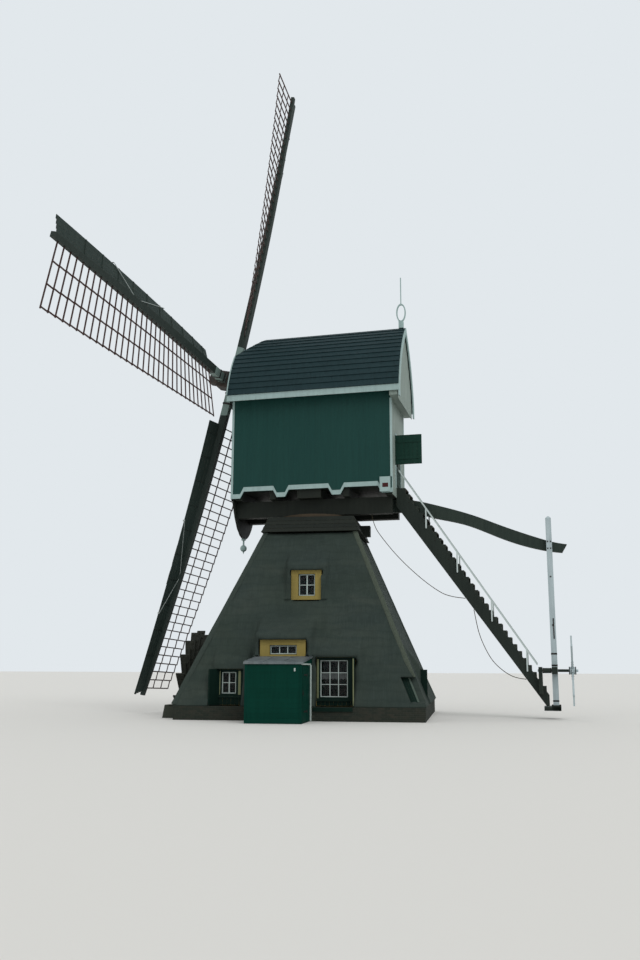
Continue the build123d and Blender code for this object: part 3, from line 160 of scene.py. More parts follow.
class Finish:
    """A material in the making. Its place is the place on the parts as they were drawn."""

    def __init__(self, name, shine=0.15):
        self.material = bpy.data.materials.new(name)
        self.material.use_nodes = True
        self.tree = self.material.node_tree
        self.shader = self.tree.nodes["Principled BSDF"]
        self.set("Specular IOR Level", shine)
        self.place = put(self.tree, "TexCoord").outputs["Object"]

    def set(self, label, value):
        """Feeds the shader."""
        feed(self.tree, self.shader.inputs[label], value)

    def coat(self, hue, roughness):
        """Feeds the shader its colour and roughness."""
        self.set("Base Color", hue)
        self.set("Roughness", roughness)

    def noise(self, scale, detail, where=None, **more):
        """A soft random pattern over the parts, or over another place."""
        inputs = {"Vector": self.place if where is None else where, "Scale": scale, "Detail": detail,
                  **more}
        return put(self.tree, "TexNoise", inputs).outputs[0]

    def mapped(self, **how):
        """The place on the parts, stretched or turned."""
        return put(self.tree, "Mapping", {"Vector": self.place, **how}).outputs[0]

    def waves(self, direction=None, **inputs):
        """Bands that follow each other over the parts."""
        kind = {"wave_type": "BANDS", **({"bands_direction": direction} if direction else {})}
        return put(self.tree, "TexWave", {"Vector": self.place, **inputs}, **kind).outputs["Fac"]

    def within(self, value, low, high, to_low=0.0, to_high=1.0):
        """A value stretched from one range to another."""
        return between(self.tree, value, low, high, to_low, to_high)

    def mix(self, share, first, second):
        """Two colours mixed by a share."""
        return put(self.tree, "Mix", {0: share, 6: first, 7: second}, data_type="RGBA").outputs[2]

    def over(self, hue, mask, share, colour, low=0.0, high=1.0):
        """A hue with another colour over it, up to a share, where the mask is high."""
        return self.mix(self.within(mask, low, high, 0, share), hue, colour)

    def marks(self, group, size=1.0):
        """A mask of patches or streaks, or another shared effect that has a size."""
        return put(self.tree, "Group", {"Place": self.place, "Size": size}, node_tree=group).outputs[0]

    def island(self):
        """A random value for each separate board, brick or stone."""
        return put(self.tree, "NewGeometry").outputs["Random Per Island"]

    def relief(self, height, distance, strength=0.6):
        """Small relief of the surface, as deep as the distance in metres."""
        bump = {"Height": height, "Distance": distance, "Strength": strength}
        self.set("Normal", put(self.tree, "Bump", bump).outputs[0])


# Ropes: tarred hemp, 28 mm thick. The brake rope hangs from under the house to the stair, and the
# hand rope from the stair's underside to its foot. Both are tied at both ends.
house_turn = turned(-5.57, "Z")
rope_thickness = 0.028
hemp = Finish("hemp_rope")
fibres = hemp.noise(90.0, 3.0)
hemp.coat(hemp.mix(hemp.within(fibres, 0.3, 0.7), paint(46, 44, 38), paint(84, 78, 64)), 0.9)
hemp.relief(fibres, 0.003)
for name, length, route in (
        ("brake_rope", 5.11, ((2.4, -0.76, 7.747), (2.48, -0.75, 7.3), (2.8, -0.7, 6.8), (3.4, -0.62, 6.05),
                              (4.12, -0.54, 5.34), (4.8, -0.48, 4.79), (5.35, -0.43, 4.486),
                              (5.946, -0.4, 4.4308))),
        ("hand_rope", 3.45, ((6.25, -0.4, 3.9999), (6.3, -0.4, 3.7), (6.4, -0.4, 3.15), (6.6, -0.4, 2.6),
                             (6.9, -0.4, 2.05), (7.35, -0.4, 1.65), (7.75, -0.4, 1.454),
                             (8.096, -0.4, 1.4242)))):
    line = bpy.data.curves.new(name, "CURVE")
    line.dimensions = "3D"
    spline = line.splines.new("NURBS")
    spline.points.add(len(route) - 1)
    for knot, point in zip(spline.points, route):
        knot.co = (*(house_turn @ Vector(point)), 1)
    spline.order_u = 3
    spline.use_endpoint_u = True
    spline.resolution_u = 12
    line.bevel_depth = rope_thickness / 2
    line.bevel_resolution = 3
    line.materials.append(hemp.material)
    rope = bpy.data.objects.new(name + "_line", line)
    bpy.context.scene.collection.objects.link(rope)
    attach(rope, "house")
    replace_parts(rope, name)


# Brick foot: a low wall of weathered bricks in half bond, 0.48 m high, with pale mortar. The bricks
# stand a few millimetres proud of the joints and stop at the porch.
def prism(shape, outline, depth, place=Matrix()):
    """A solid between an outline and the same outline moved by a depth, in its place."""
    low = [shape.verts.new(place @ Vector(point)) for point in outline]
    high = [shape.verts.new(place @ (Vector(point) + Vector(depth))) for point in outline]
    shape.faces.new(low[::-1])
    shape.faces.new(high)
    for k in range(len(outline)):
        shape.faces.new((low[k - 1], low[k], high[k], high[k - 1]))


def block(shape, low, high, place=Matrix()):
    """A box between two corners, in its place."""
    (x1, y1, z1), (x2, y2, z2) = low, high
    prism(shape, ((x1, y1, z1), (x2, y1, z1), (x2, y2, z1), (x1, y2, z1)), (0, 0, z2 - z1), place)


def make(name, shape, finish, body, edge=0.004, smooth=None):
    """The object of a finished shape, riding on its body. What rides on the house is drawn unturned."""
    bmesh.ops.recalc_face_normals(shape, faces=shape.faces)
    mesh = bpy.data.meshes.new(name)
    shape.to_mesh(mesh)
    shape.free()
    if body in ("house", "winding_wheel"):
        mesh.transform(house_turn)
    mesh.materials.append(finish.material)
    if smooth:
        mesh.shade_smooth()
        mesh.set_sharp_from_angle(angle=radians(smooth))
    piece = bpy.data.objects.new(name, mesh)
    bpy.context.scene.collection.objects.link(piece)
    if edge:
        rounded = piece.modifiers.new("rounded", "BEVEL")
        rounded.width = edge
        rounded.segments = 1
        rounded.limit_method = "ANGLE"
        rounded.angle_limit = radians(35)
    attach(piece, body)
    return piece


def dress(finish, *nodes):
    """Gives nodes of the frame their finish."""
    for node in nodes:
        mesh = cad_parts[node].data
        mesh.materials.clear()
        mesh.materials.append(finish.material)


def wall_turn(side):
    """Turns a piece drawn for the front wall to another wall, anticlockwise from above."""
    return turned(90 * side, "Z")


mortar = Finish("mortar")
grit = mortar.noise(60.0, 4.0)
mortar.coat(mortar.mix(mortar.within(grit, 0.3, 0.7), paint(50, 55, 49), paint(64, 67, 60)), 0.95)
mortar.relief(grit, 0.004)
dress(mortar, "brick_foot", "pit_kerb")

brick = Finish("brick")
hue = brick.mix(brick.island(), paint(42, 47, 41), paint(56, 55, 48))
brick.coat(brick.over(hue, brick.marks(patches, 3.0), 0.7, paint(38, 45, 40)), 0.9)
brick.relief(brick.noise(45.0, 5.0), 0.004)
foot_face, foot_top, course, brick_length, joint = 4.44, 0.48, 0.068, 0.22, 0.01
shortest_brick = 0.04
bricks = bmesh.new()
for side in range(4):
    turn = wall_turn(side)
    porch = (-1.45, 0.47) if side == 0 else (9, 9)
    for row in range(7):
        start = -foot_face - (brick_length / 2 if row % 2 else 0)
        for step in range(42):
            left = max(start + step * brick_length, -foot_face)
            right = min(start + (step + 1) * brick_length - joint, foot_face)
            if right - left < shortest_brick or (left < porch[1] and right > porch[0]):
                continue
            proud = 0.006 + 0.003 * noise.noise((left * 7, row * 3.1, side))
            low = row * course + joint / 2
            high, back = low + course - joint, -foot_face + 0.01
            outline = [turn @ Vector(point) for point in (
                (left, back, low), (right, back, low), (right, back, high), (left, back, high))]
            prism(bricks, outline, turn @ Vector((0, -0.01 - proud, 0)))
make("foot_bricks", bricks, brick, "tower", edge=0.003)

# Ground floor: square red tiles laid in rows, as the open door shows them.
tiles = Finish("floor_tiles")
rows = put(tiles.tree, "TexBrick", {"Vector": tiles.place, "Color1": paint(120, 72, 56),
                                    "Color2": paint(100, 62, 50), "Mortar": paint(90, 86, 80), "Scale": 3.0,
                                    "Mortar Size": 0.01, "Brick Width": 0.6, "Row Height": 0.6}, offset=0.0)
tiles.coat(rows.outputs["Color"], 0.6)
tiles.relief(rows.outputs["Fac"], 0.003, -0.5)
dress(tiles, "ground_floor")

# Thatch: bundles of water reed laid up the slope, 0.4 m deep, bound to battens and beaten smooth.
# The four walls, the lifts over the windows and the thick lower edge are one soft surface.
foot_half, slope = 4.5, 0.41564


def thatch_half(z):
    """Half the tower's width at a height."""
    return foot_half - slope * (z - foot_top)


def reed(name, across):
    """Weathered reed whose stems run up the wall, with painted light and shade on its ledges; across is the
    level direction of the wall.
    """
    finish = Finish(name)
    stems = finish.noise(1.0, 6.0, finish.mapped(Scale=[55 * part for part in across] + [1.6]),
                         Roughness=0.7)
    ledge_relief_and_shading = finish.noise(1.0, 6.0, finish.mapped(Scale=(0.35, 0.35, 1.3)), Roughness=0.62, Distortion=0.6)
    hue = finish.mix(finish.within(stems, 0.3, 0.7), paint(42, 53, 50), paint(58, 68, 65))
    # The soft layers show lighter where they rise and darker where they sink: partly the reed's own patchy
    # tone, partly painted light and shade of the ledges. The same noise gives their relief.
    hue = finish.over(hue, ledge_relief_and_shading, 0.6, paint(68, 75, 69), 0.48, 0.72)
    hue = finish.over(hue, ledge_relief_and_shading, 0.6, paint(36, 47, 45), 0.46, 0.3)
    hue = finish.over(hue, finish.marks(patches, 0.45), 0.4, paint(51, 61, 52))
    hue = finish.over(hue, finish.marks(streaks, 0.5), 0.3, paint(38, 46, 42))
    # Dark lines along the course edges: painted shade under each course.
    course_shade_lines = finish.waves("Z", Scale=1.05, Distortion=4.5, Detail=4.0, **{"Detail Scale": 1.4})
    finish.coat(finish.over(hue, course_shade_lines, 0.16, paint(34, 43, 41), 0.75, 1), 0.95)
    height = put(finish.tree, "Math", {0: ledge_relief_and_shading, 1: 0.5, 2: stems}, operation="MULTIPLY_ADD").outputs[0]
    finish.relief(height, 0.02)
    return finish


reeds = [reed("reed_front", (1, 0)), reed("reed_sides", (0, 1))]
up_slope = Vector((0, -1, slope)).normalized()


def outer_faces(shape):
    """What shows of the front wall: the slope, the lifts over the windows and the lower edge."""
    faces = []
    for face in shape.faces:
        middle = face.calc_center_median()
        beside = abs(face.normal.x) > 0.9 and middle.y < -thatch_half(middle.z) + 0.01
        if face.normal.dot(up_slope) > 0.3 or beside:
            faces.append(face)
    return faces


def at_lip(edge, outside):
    """Whether an edge is the front lip of the wall's underside."""
    ends, faces = edge.verts, edge.link_faces
    return (len(faces) == 2 and abs(ends[0].co.z - ends[1].co.z) < 0.01
            and sum(face in outside for face in faces) == 1
            and min(face.normal.z for face in faces) < -0.9 and ends[0].co.z < foot_top + 0.05)


cut_pitch, lip_radius = 0.12, 0.09
for side, name in enumerate(("front", "right", "back", "left")):
    node = "thatch_" + name
    turn = wall_turn(side)
    shape = bmesh.new()
    shape.from_mesh(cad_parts[node].data)
    bmesh.ops.transform(shape, matrix=turn.inverted(), verts=shape.verts)
    bmesh.ops.remove_doubles(shape, verts=shape.verts, dist=0.0005)
    bmesh.ops.dissolve_limit(shape, angle_limit=radians(1), verts=shape.verts, edges=shape.edges)
    for start, normal, count in (((-4.4, 0, 0), (1, 0, 0), 74), ((0, 0, 0.6), (0, 0, 1), 54)):
        for step in range(count):
            faces = outer_faces(shape)
            edges = {edge for face in faces for edge in face.edges}
            verts = {vert for face in faces for vert in face.verts}
            bmesh.ops.bisect_plane(shape, geom=list(verts) + list(edges) + faces, plane_no=normal,
                                   plane_co=Vector(start) + Vector(normal) * cut_pitch * step)
    outside = set(outer_faces(shape))
    bmesh.ops.bevel(shape, geom=[edge for edge in shape.edges if at_lip(edge, outside)], offset=lip_radius,
                    segments=4, profile=0.5, affect="EDGES")
    outside = set(outer_faces(shape))
    soft = [vert for vert in shape.verts
            if vert.link_faces and all(face in outside for face in vert.link_faces)
            and abs(vert.co.x) < thatch_half(vert.co.z) - 0.02]
    for turn_of_smoothing in range(5):
        bmesh.ops.smooth_vert(shape, verts=soft, factor=0.5, use_axis_x=True, use_axis_y=True,
                              use_axis_z=True)
    for vert in soft:
        vert.co += up_slope * (noise.noise(vert.co * 0.7) * 0.035
                               + noise.noise(vert.co * 2.3) * 0.012 - 0.012)
    bmesh.ops.transform(shape, matrix=turn, verts=shape.verts)
    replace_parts(make(node + "_reed", shape, reeds[side % 2], "tower", edge=0, smooth=50), node)

# Hips: a rounded cap of lighter reed runs down each corner of the tower, sewn tight over the ends
# of the two walls. The right front one starts above the recess, and is painted paler still than the
# other three: painted light on that corner.
hip_reeds = []
# The paler finish, for the right front cap only, is the same reed with painted light on it.
for name, dark, pale in (("reed_hip_painted_lit", paint(60, 69, 60), paint(84, 92, 82)),
                         ("reed_hips", paint(46, 56, 52), paint(62, 71, 66))):
    finish = Finish(name)
    stems = finish.noise(1.0, 5.0, finish.mapped(Scale=(40, 40, 2.5)), Roughness=0.7)
    finish.coat(finish.mix(finish.within(stems, 0.3, 0.7), dark, pale), 0.95)
    finish.relief(stems, 0.015)
    hip_reeds.append(finish)
hip_top_z, recess_top, cap_reach, cap_rise, cap_steps = 6.96, 1.5, 0.15, 0.05, 40
for side, name in enumerate(("front_right", "back_right", "back_left", "front_left")):
    caps = bmesh.new()
    rings = []
    foot = recess_top if side == 0 else foot_top + 0.06
    for step in range(cap_steps + 1):
        z = foot + (hip_top_z - foot) * step / cap_steps
        narrow = min(1, 0.35 + (z - foot) * 1.3) if side == 0 else 1
        ring = []
        for k in range(9):
            angle = radians(-90 + 22.5 * k)
            reach = cap_reach * narrow * sin(angle)
            rise = cap_rise * cos(angle) + 0.01 * noise.noise((k * 0.3, z * 2, side))
            along = Vector((reach, 0, 0)) if reach < 0 else Vector((0, reach, 0))
            ring.append(caps.verts.new(wall_turn(side) @ (
                Vector((thatch_half(z), -thatch_half(z), z)) + along
                + Vector((1, -1, 0.6)).normalized() * (rise - 0.006))))
        rings.append(ring)
    for low, high in zip(rings, rings[1:]):
        for k in range(8):
            caps.faces.new((low[k], low[k + 1], high[k + 1], high[k]))
    for ring in (rings[0], rings[-1]):
        caps.faces.new(ring)
    make(name + "_hip", caps, hip_reeds[min(side, 1)], "tower", edge=0, smooth=60)

# Paint on timber: old oil paint over sawn wood, with fine grain, rain marks and bare wood where the
# edges have worn. The grain runs along x before the given turn.
wear, given, made = effect("edge_wear", [("Place", "Vector", None), ("Size", "Float", 0.012)], ["Mask"])
soft_normal = put(wear, "Bevel", {"Radius": given["Size"]}, samples=4).outputs[0]
true_normal = put(wear, "NewGeometry").outputs["Normal"]
bend = put(wear, "VectorMath", {0: soft_normal, 1: true_normal}, operation="DOT_PRODUCT").outputs["Value"]
chips = put(wear, "TexNoise", {"Vector": given["Place"], "Scale": 14.0, "Detail": 6.0}).outputs[0]
worn = put(wear, "Math", {0: between(wear, bend, 0.995, 0.9), 1: between(wear, chips, 0.45, 0.6)},
           operation="MULTIPLY").outputs[0]
wear.links.new(worn, made["Mask"])

grain, given, made = effect("wood_grain", [("Place", "Vector", None), ("Size", "Float", 1.0)], ["Grain"])
drawn = put(grain, "Mapping", {"Vector": given["Place"], "Scale": (1.2, 26, 26)}).outputs[0]
lines = put(grain, "TexNoise", {"Vector": drawn, "Scale": given["Size"], "Detail": 5.0, "Roughness": 0.65,
                                "Distortion": 0.5}).outputs[0]
grain.links.new(lines, made["Grain"])
bare_wood = paint(110, 104, 92)
upright = (0, radians(90), 0)
crosswise = (0, 0, radians(90))


def timber(name, main, second, worn_to=bare_wood, gloss=0.55, turn=(0, 0, 0), marks=0.35, relief=0.003,
           wearing=0.6, shine=0.15):
    """Painted or tarred wood: its main and second tone, and what shows where it has worn."""
    finish = Finish(name, shine)
    wood = put(finish.tree, "Group", {"Place": finish.mapped(Rotation=turn), "Size": 1.0},
               node_tree=grain).outputs[0]
    hue = finish.over(main, finish.island(), 0.5, second)
    hue = finish.over(hue, wood, 0.45, second, 0.35, 0.7)
    hue = finish.over(hue, finish.marks(patches, 1.1), marks, second)
    hue = finish.over(hue, finish.marks(streaks), marks, [part * 0.55 for part in main[:3]] + [1])
    hue = finish.over(hue, finish.marks(wear, 0.012), wearing, worn_to)
    finish.coat(hue, finish.within(wood, 0.3, 0.7, gloss - 0.08, gloss + 0.12))
    finish.relief(wood, relief)
    return finish


# Windows: deep frames in ochre, white sashes with thin bars, old glass. The ground floor frames
# have a dark boarded panel and a sill; the upper ones are lined with ochre boards.
ochre = timber("ochre_paint", paint(150, 134, 74), paint(130, 116, 64), paint(112, 100, 76), marks=0.3)
dark_green = timber("dark_green_paint", paint(15, 33, 28), paint(22, 41, 35), marks=0.3, wearing=0.25,
                    shine=0.05)
sash_white = timber("sash_white", paint(182, 195, 191), paint(164, 178, 174), paint(120, 120, 110),
                    marks=0.3)
cream = timber("cream_paint", paint(122, 128, 96), paint(106, 112, 84), paint(104, 100, 84), marks=0.3)
dress(ochre, "window_frames")

glass = Finish("old_glass", shine=0.3)
glass.coat(paint(8, 18, 17), 0.06)
glass.set("Alpha", 0.42)
glass.relief(glass.noise(3.0, 1.0), 0.003, 0.2)
dress(glass, "window_glass")

# Each window: its wall, its outline (left, right, low, high), its plane, how far the light stands in
# from the outline on the left, right, top and bottom, the panel's height, the number of panes across
# and up, and the pale posts beside the light
back_margins, back_posts = (0.15, 0.15, 0.085, 0.085), ((0.07, 0.13), (0.79, 0.85))
windows = [
    (0, (-2.92, -2.0, 0.5, 1.76), 4.0, (0.085, 0.28, 0.085, 0.085), 0.3, 2, 2, ((0.01, 0.06), (0.72, 0.81))),
    (0, (0.61, 1.99, 0.5, 2.18), 4.0, (0.12, 0.25, 0.085, 0.085), 0.2, 3, 3, ((0.03, 0.09),)),
    (0, (-1.38, 0.27, 2.18, 2.79), 4.25, (0.35, 0.32, 0.19, 0.085), 0, 3, 1, None),
    (0, (-0.55, 0.6, 4.29, 5.4), 2.7753, (0.27, 0.24, 0.14, 0.14), 0, 2, 2, None),
    (1, (-1.62, -0.7, 0.5, 1.76), 4.0, back_margins, 0.3, 2, 2, back_posts),
    (2, (-1.62, -0.7, 0.5, 1.76), 4.0, back_margins, 0.3, 2, 2, back_posts),
    (2, (0.7, 1.62, 0.5, 1.76), 4.0, back_margins, 0.3, 2, 2, back_posts),
    (2, (-0.55, 0.6, 4.29, 5.4), 2.7753, (0.24, 0.24, 0.14, 0.14), 0, 2, 2, None),
]


def turn_new(shape, start, side):
    """Turns what was added to a shape since a number of corners to another wall."""
    shape.verts.ensure_lookup_table()
    bmesh.ops.transform(shape, matrix=wall_turn(side), verts=shape.verts[start:])


sashes, borders, panels, linings, posts = window_shapes = [bmesh.new() for _ in range(5)]
rim, stile, half_bar, putty, sash_back = 0.018, 0.05, 0.013, 0.09, 0.129
lap, gap, panel_board = 0.004, 0.003, 0.15
for side, (left, right, low, high), plane, margins, panel, across, up, pale in windows:
    starts = [len(shape.verts) for shape in window_shapes]
    light = (left + margins[0], right - margins[1], low + panel + margins[3], high - margins[2])
    back = -plane + sash_back
    for depth, inset, width, shape in ((0.05, 0, rim, borders), (0.075, rim, stile - rim, sashes)):
        x1, x2, z1, z2 = light[0] + inset, light[1] - inset, light[2] + inset, light[3] - inset
        for corner, opposite in (((x1, z1), (x1 + width, z2)), ((x2 - width, z1), (x2, z2)),
                                 ((x1 + width, z2 - width), (x2 - width, z2)),
                                 ((x1 + width, z1), (x2 - width, z1 + width))):
            block(shape, (corner[0], -plane + depth, corner[1]), (opposite[0], back, opposite[1]))
    inner = (light[0] + stile, light[1] - stile, light[2] + stile, light[3] - stile)
    for k in range(1, across):
        x = inner[0] + (inner[1] - inner[0]) * k / across
        wide = half_bar * (1.7 if across == 2 else 1.2)     # two leaves meet in the middle
        block(sashes, (x - wide, -plane + putty, inner[2]), (x + wide, back, inner[3]))
    for k in range(1, up):
        z = inner[2] + (inner[3] - inner[2]) * k / up
        block(sashes, (inner[0], -plane + putty + gap, z - half_bar), (inner[1], back, z + half_bar))
    facing = panels if pale else linings
    front = -plane - (lap if pale else 0.012)
    for near, far in pale or ():
        block(posts, (left + near, front - 0.008, light[2] - 0.02),
              (left + far, -plane + 0.06, light[3] + 0.02))
    for x1, x2 in ((left + lap, light[0] + lap), (light[1] - lap, right - lap)):
        block(facing, (x1, front, low + panel), (x2, back, high - lap))
    block(facing, (light[0] + lap, front, light[3] - lap), (light[1] - lap, back, high - lap))
    block(facing, (light[0] + lap, front, low + panel), (light[1] - lap, back, light[2] + lap))
    if panel:
        sill = low + panel + 0.012
        block(panels, (left + 0.01, -plane - 0.07, sill - 0.05), (right - 0.01, -plane + 0.05, sill))
        count = round((right - left) / panel_board)
        step = (right - left - 0.04) / count
        for k in range(count):
            x = left + 0.02 + step * k
            block(panels, (x + gap, -plane - 0.016, low + 0.01),
                  (x + step - gap, -plane + 0.01, sill - 0.05))
    for shape, start in zip(window_shapes, starts):
        turn_new(shape, start, side)
block(panels, (0.56, -4.5, 0.33), (1.95, -4.452, 0.475))     # a dark board on the foot under the large window; its dark band also stands in for the shade under the sill: painted shade
block(posts, (1.948, -4.407, 0.52), (1.99, -4.398, 2.13))
make("window_sashes", sashes, sash_white, "tower", edge=0.003)
make("window_borders", borders, dark_green, "tower", edge=0.003)
make("window_panels", panels, dark_green, "tower")
make("upper_linings", linings, ochre, "tower")
make("window_posts", posts, cream, "tower", edge=0.003)


# Cheeks beside the windows, and the recess low down on the right front hip, where the thatch is cut
# back to upright dark boards with a paler strip on the corner
def skin(shape, rings):
    """A closed hull over rings of as many points each."""
    lines = [[shape.verts.new(point) for point in ring] for ring in rings]
    for low, high in zip(lines, lines[1:]):
        for k in range(len(low)):
            shape.faces.new((low[k - 1], low[k], high[k], high[k - 1]))
    shape.faces.new(lines[0][::-1])
    shape.faces.new(lines[-1])


dress(dark_green, "window_cheeks")
recess_boards, corner_strip = bmesh.new(), bmesh.new()
recess_ends, recess_set, board_ends = (0.662, recess_top - 0.012), 0.211, (0.03, 0.115, 0.2, 0.283)
for near, far in zip(board_ends, board_ends[1:]):
    for swap in (False, True):
        outline = []
        for end, across in ((0, near), (0, far - 0.004), (1, far - 0.004), (1, near)):
            z = recess_ends[end]
            half = thatch_half(z) - recess_set
            outline.append((half, across - half, z) if swap else (half - across, -half, z))
        prism(recess_boards, outline, (0.014, 0, 0) if swap else (0, -0.014, 0))
make("recess_boards", recess_boards, dark_green, "tower", edge=0.003)
strip_rings = []
for z in recess_ends:
    half = thatch_half(z) - recess_set
    strip_rings.append([(half + x, -half - y, z)
                        for x, y in ((-0.045, 0), (0.02, 0), (0.02, 0.02), (-0.045, 0.02))])
skin(corner_strip, strip_rings)
strip_grey = timber("strip_grey", paint(86, 100, 92), paint(72, 86, 78), paint(110, 108, 96), turn=upright,
                    marks=0.4)
make("corner_strip", corner_strip, strip_grey, "tower")

# A half curtain in the large window: thin white cotton, gathered on a rod, with a scalloped hem.
cotton = Finish("white_cotton")
weave = cotton.waves("Z", Scale=160.0)
cotton.coat(cotton.mix(cotton.within(weave, 0, 1), paint(196, 206, 206), paint(214, 222, 222)), 0.9)
cotton.set("Sheen Weight", 0.3)
cotton.relief(weave, 0.001)
curtain = bmesh.new()
rod_z, rod_left, curtain_width, curtain_drop = 1.66, 0.76, 0.96, 0.22
folds, scallops, parts, drops = 24, 8, 144, 8
rows = []
for row in range(drops + 1):
    line = []
    for step in range(parts + 1):
        share = step / parts
        fold = 0.014 * sin(share * 2 * pi * folds) * (0.4 + 0.6 * row / drops)
        hem = 0.03 * abs(sin(share * pi * scallops))
        z = rod_z - (curtain_drop + hem) * row / drops
        line.append(curtain.verts.new((rod_left + curtain_width * share, -3.84 + fold, z)))
    rows.append(line)
for above, below in zip(rows, rows[1:]):
    for k in range(parts):
        curtain.faces.new((above[k], above[k + 1], below[k + 1], below[k]))
valance = make("window_curtain", curtain, cotton, "tower", edge=0, smooth=180)


# Porch: level boards on a frame, painted green, under a lean-to roof of grey sheet, with a plank
# door in its right side. The side's boards follow the roof's slope, and end against the thatch.
porch_green = timber("porch_green_paint", paint(4, 48, 39), paint(7, 56, 46), paint(40, 66, 56), gloss=0.6,
                     marks=0.3, wearing=0.2, shine=0.05)
dress(porch_green, "front_porch_walls", "porch_door_frame", "porch_door")
porch_front, porch_left, porch_right, porch_back = 6.18, -1.44, 0.46, 4.25
porch_low, porch_rise, door_side, door_lintel = 1.96, 0.2, 5.09, 1.88
board_rows, board_proud, board_gap, board_low, boards_high = 12, 0.014, 0.002, 0.015, 1.955


def porch_top(y):
    """Underside of the porch's roof at a distance ahead of the tower's middle."""
    return porch_low + porch_rise * (porch_front - y) / (porch_front - porch_back)


def lower_back(z):
    """Where a board of the porch's side ends against the thatch."""
    return max(thatch_half(z), 4.1) + 0.03 if z > foot_top else foot_half + 0.03


boards, corners, door_boards = bmesh.new(), bmesh.new(), bmesh.new()
pitch = 1.94 / board_rows
for row in range(board_rows + 1):
    low, high = board_low + row * pitch, board_low + (row + 1) * pitch - board_gap
    if row < board_rows:
        block(boards, (porch_left + 0.05, -porch_front - board_proud, low),
              (porch_right - 0.05, -porch_front, min(high, boards_high)))
    for x, out_x in ((porch_left, -board_proud), (porch_right, board_proud)):
        front_y = door_side if x == porch_right and low < door_lintel else porch_front - 0.03
        ends = [(front_y, low), (lower_back(low), low),
                (lower_back(high), min(high, porch_top(lower_back(high)))),
                (front_y, min(high, porch_top(front_y)))]
        if ends[3][1] - low < 0.01:
            if ends[2][1] - low < 0.02:
                continue
            meet = porch_front - (low - porch_low) / porch_rise * (porch_front - porch_back) - 0.05
            ends[0] = ends[3] = (meet, low)
            ends = ends[:3]
        prism(boards, [(x, -y, z) for y, z in ends], (out_x, 0, 0))
for x in (porch_left - 0.02, porch_right - 0.05):
    block(corners, (x, -porch_front - 0.024, 0.01), (x + 0.07, -porch_front + 0.03, porch_low + 0.005))
make("porch_boards", boards, porch_green, "tower", edge=0.0015)
make("porch_corners", corners, porch_green, "tower")


# The porch's plank door: upright boards on two ledges, hung on long strap hinges, with a ring
# handle. It opens outwards from its hinge by the tower.
def bar(shape, radius, length, place, sides=8, tip=None):
    """A round bar about its place's z axis, that narrows to its tip's radius."""
    bmesh.ops.create_cone(shape, cap_ends=True, segments=sides, radius1=radius,
                          radius2=radius if tip is None else tip, depth=length, matrix=place)


iron = Finish("black_iron", shine=0.4)
rust = iron.marks(patches, 8.0)
iron.coat(iron.over(paint(30, 32, 32), rust, 0.5, paint(62, 46, 36)), iron.within(rust, 0, 1, 0.45, 0.8))
iron.set("Metallic", iron.within(rust, 0, 1, 0.8, 0.2))
iron.relief(rust, 0.002)
door_low, door_high, door_hinge, door_free, door_planks = 0.038, 1.872, -5.1303, -6.022, 6
for k in range(door_planks):
    near = door_free + (door_hinge - door_free) * k / door_planks
    far = door_free + (door_hinge - door_free) * (k + 1) / door_planks
    block(door_boards, (porch_right, near + 0.003, door_low), (porch_right + 0.012, far - 0.003, door_high))
make("porch_door_boards", door_boards, porch_green, "porch_door", edge=0.003)
irons = bmesh.new()
for z in (0.35, 1.55):
    block(irons, (porch_right + 0.012, door_hinge - 0.62, z),
          (porch_right + 0.02, door_hinge - 0.004, z + 0.05))
    bar(irons, 0.016, 0.13, moved(porch_right + 0.012, door_hinge - 0.006, z + 0.025), sides=16)
    for k in range(4):
        bmesh.ops.create_uvsphere(irons, u_segments=10, v_segments=6, radius=0.012,
                                  matrix=moved(porch_right + 0.021, door_hinge - 0.1 - 0.15 * k, z + 0.025))
block(irons, (porch_right + 0.012, door_free + 0.05, 0.9), (porch_right + 0.018, door_free + 0.1, 1.1))
ring_x, ring_y, ring_z, ring_radius, ring_parts = porch_right + 0.03, door_free + 0.075, 0.97, 0.045, 24
for k in range(ring_parts):
    a, b = [Vector((ring_x, ring_y + ring_radius * sin(angle), ring_z + ring_radius * cos(angle)))
            for angle in (2 * pi * k / ring_parts, 2 * pi * (k + 1) / ring_parts)]
    aim = (b - a).to_track_quat("Z", "Y").to_matrix().to_4x4()
    bar(irons, 0.006, (b - a).length * 1.1, Matrix.Translation((a + b) / 2) @ aim)
make("porch_door_irons", irons, iron, "porch_door", edge=0)

# Porch roof: sheets of dull grey metal with rolled seams and a folded lip. A level white board runs
# under its right edge and an upright strip down the side, and a small lamp hangs on the front.
sheet_metal = Finish("grey_sheet_metal", shine=0.4)
bloom = sheet_metal.marks(patches, 2.5)
hue = sheet_metal.mix(bloom, paint(92, 100, 104), paint(116, 124, 126))
hue = sheet_metal.over(hue, sheet_metal.marks(streaks), 0.4, paint(70, 76, 74))
sheet_metal.coat(hue, sheet_metal.within(bloom, 0, 1, 0.45, 0.7))
sheet_metal.set("Metallic", 0.35)
sheet_metal.relief(bloom, 0.004)
dress(sheet_metal, "porch_roof")
seams, fascias, lamp_shell = bmesh.new(), bmesh.new(), bmesh.new()
lip_at, wall_at = porch_front + 0.05, porch_back + 0.3
lip_z, wall_z = porch_top(lip_at) + 0.05, porch_top(wall_at) + 0.05
for x in (porch_left - 0.05, -0.83, -0.16, porch_right + 0.03):
    prism(seams, [(x, -lip_at, lip_z - 0.01), (x, -wall_at, wall_z - 0.01), (x, -wall_at, wall_z + 0.018),
                  (x, -lip_at, lip_z + 0.018)], (0.022, 0, 0))
block(seams, (porch_left - 0.064, -porch_front - 0.066, 1.925),
      (porch_right + 0.064, -porch_front - 0.0605, 1.995))
block(fascias, (porch_right + 0.004, -porch_front - 0.03, 1.905), (porch_right + 0.034, -4.46, 1.955))
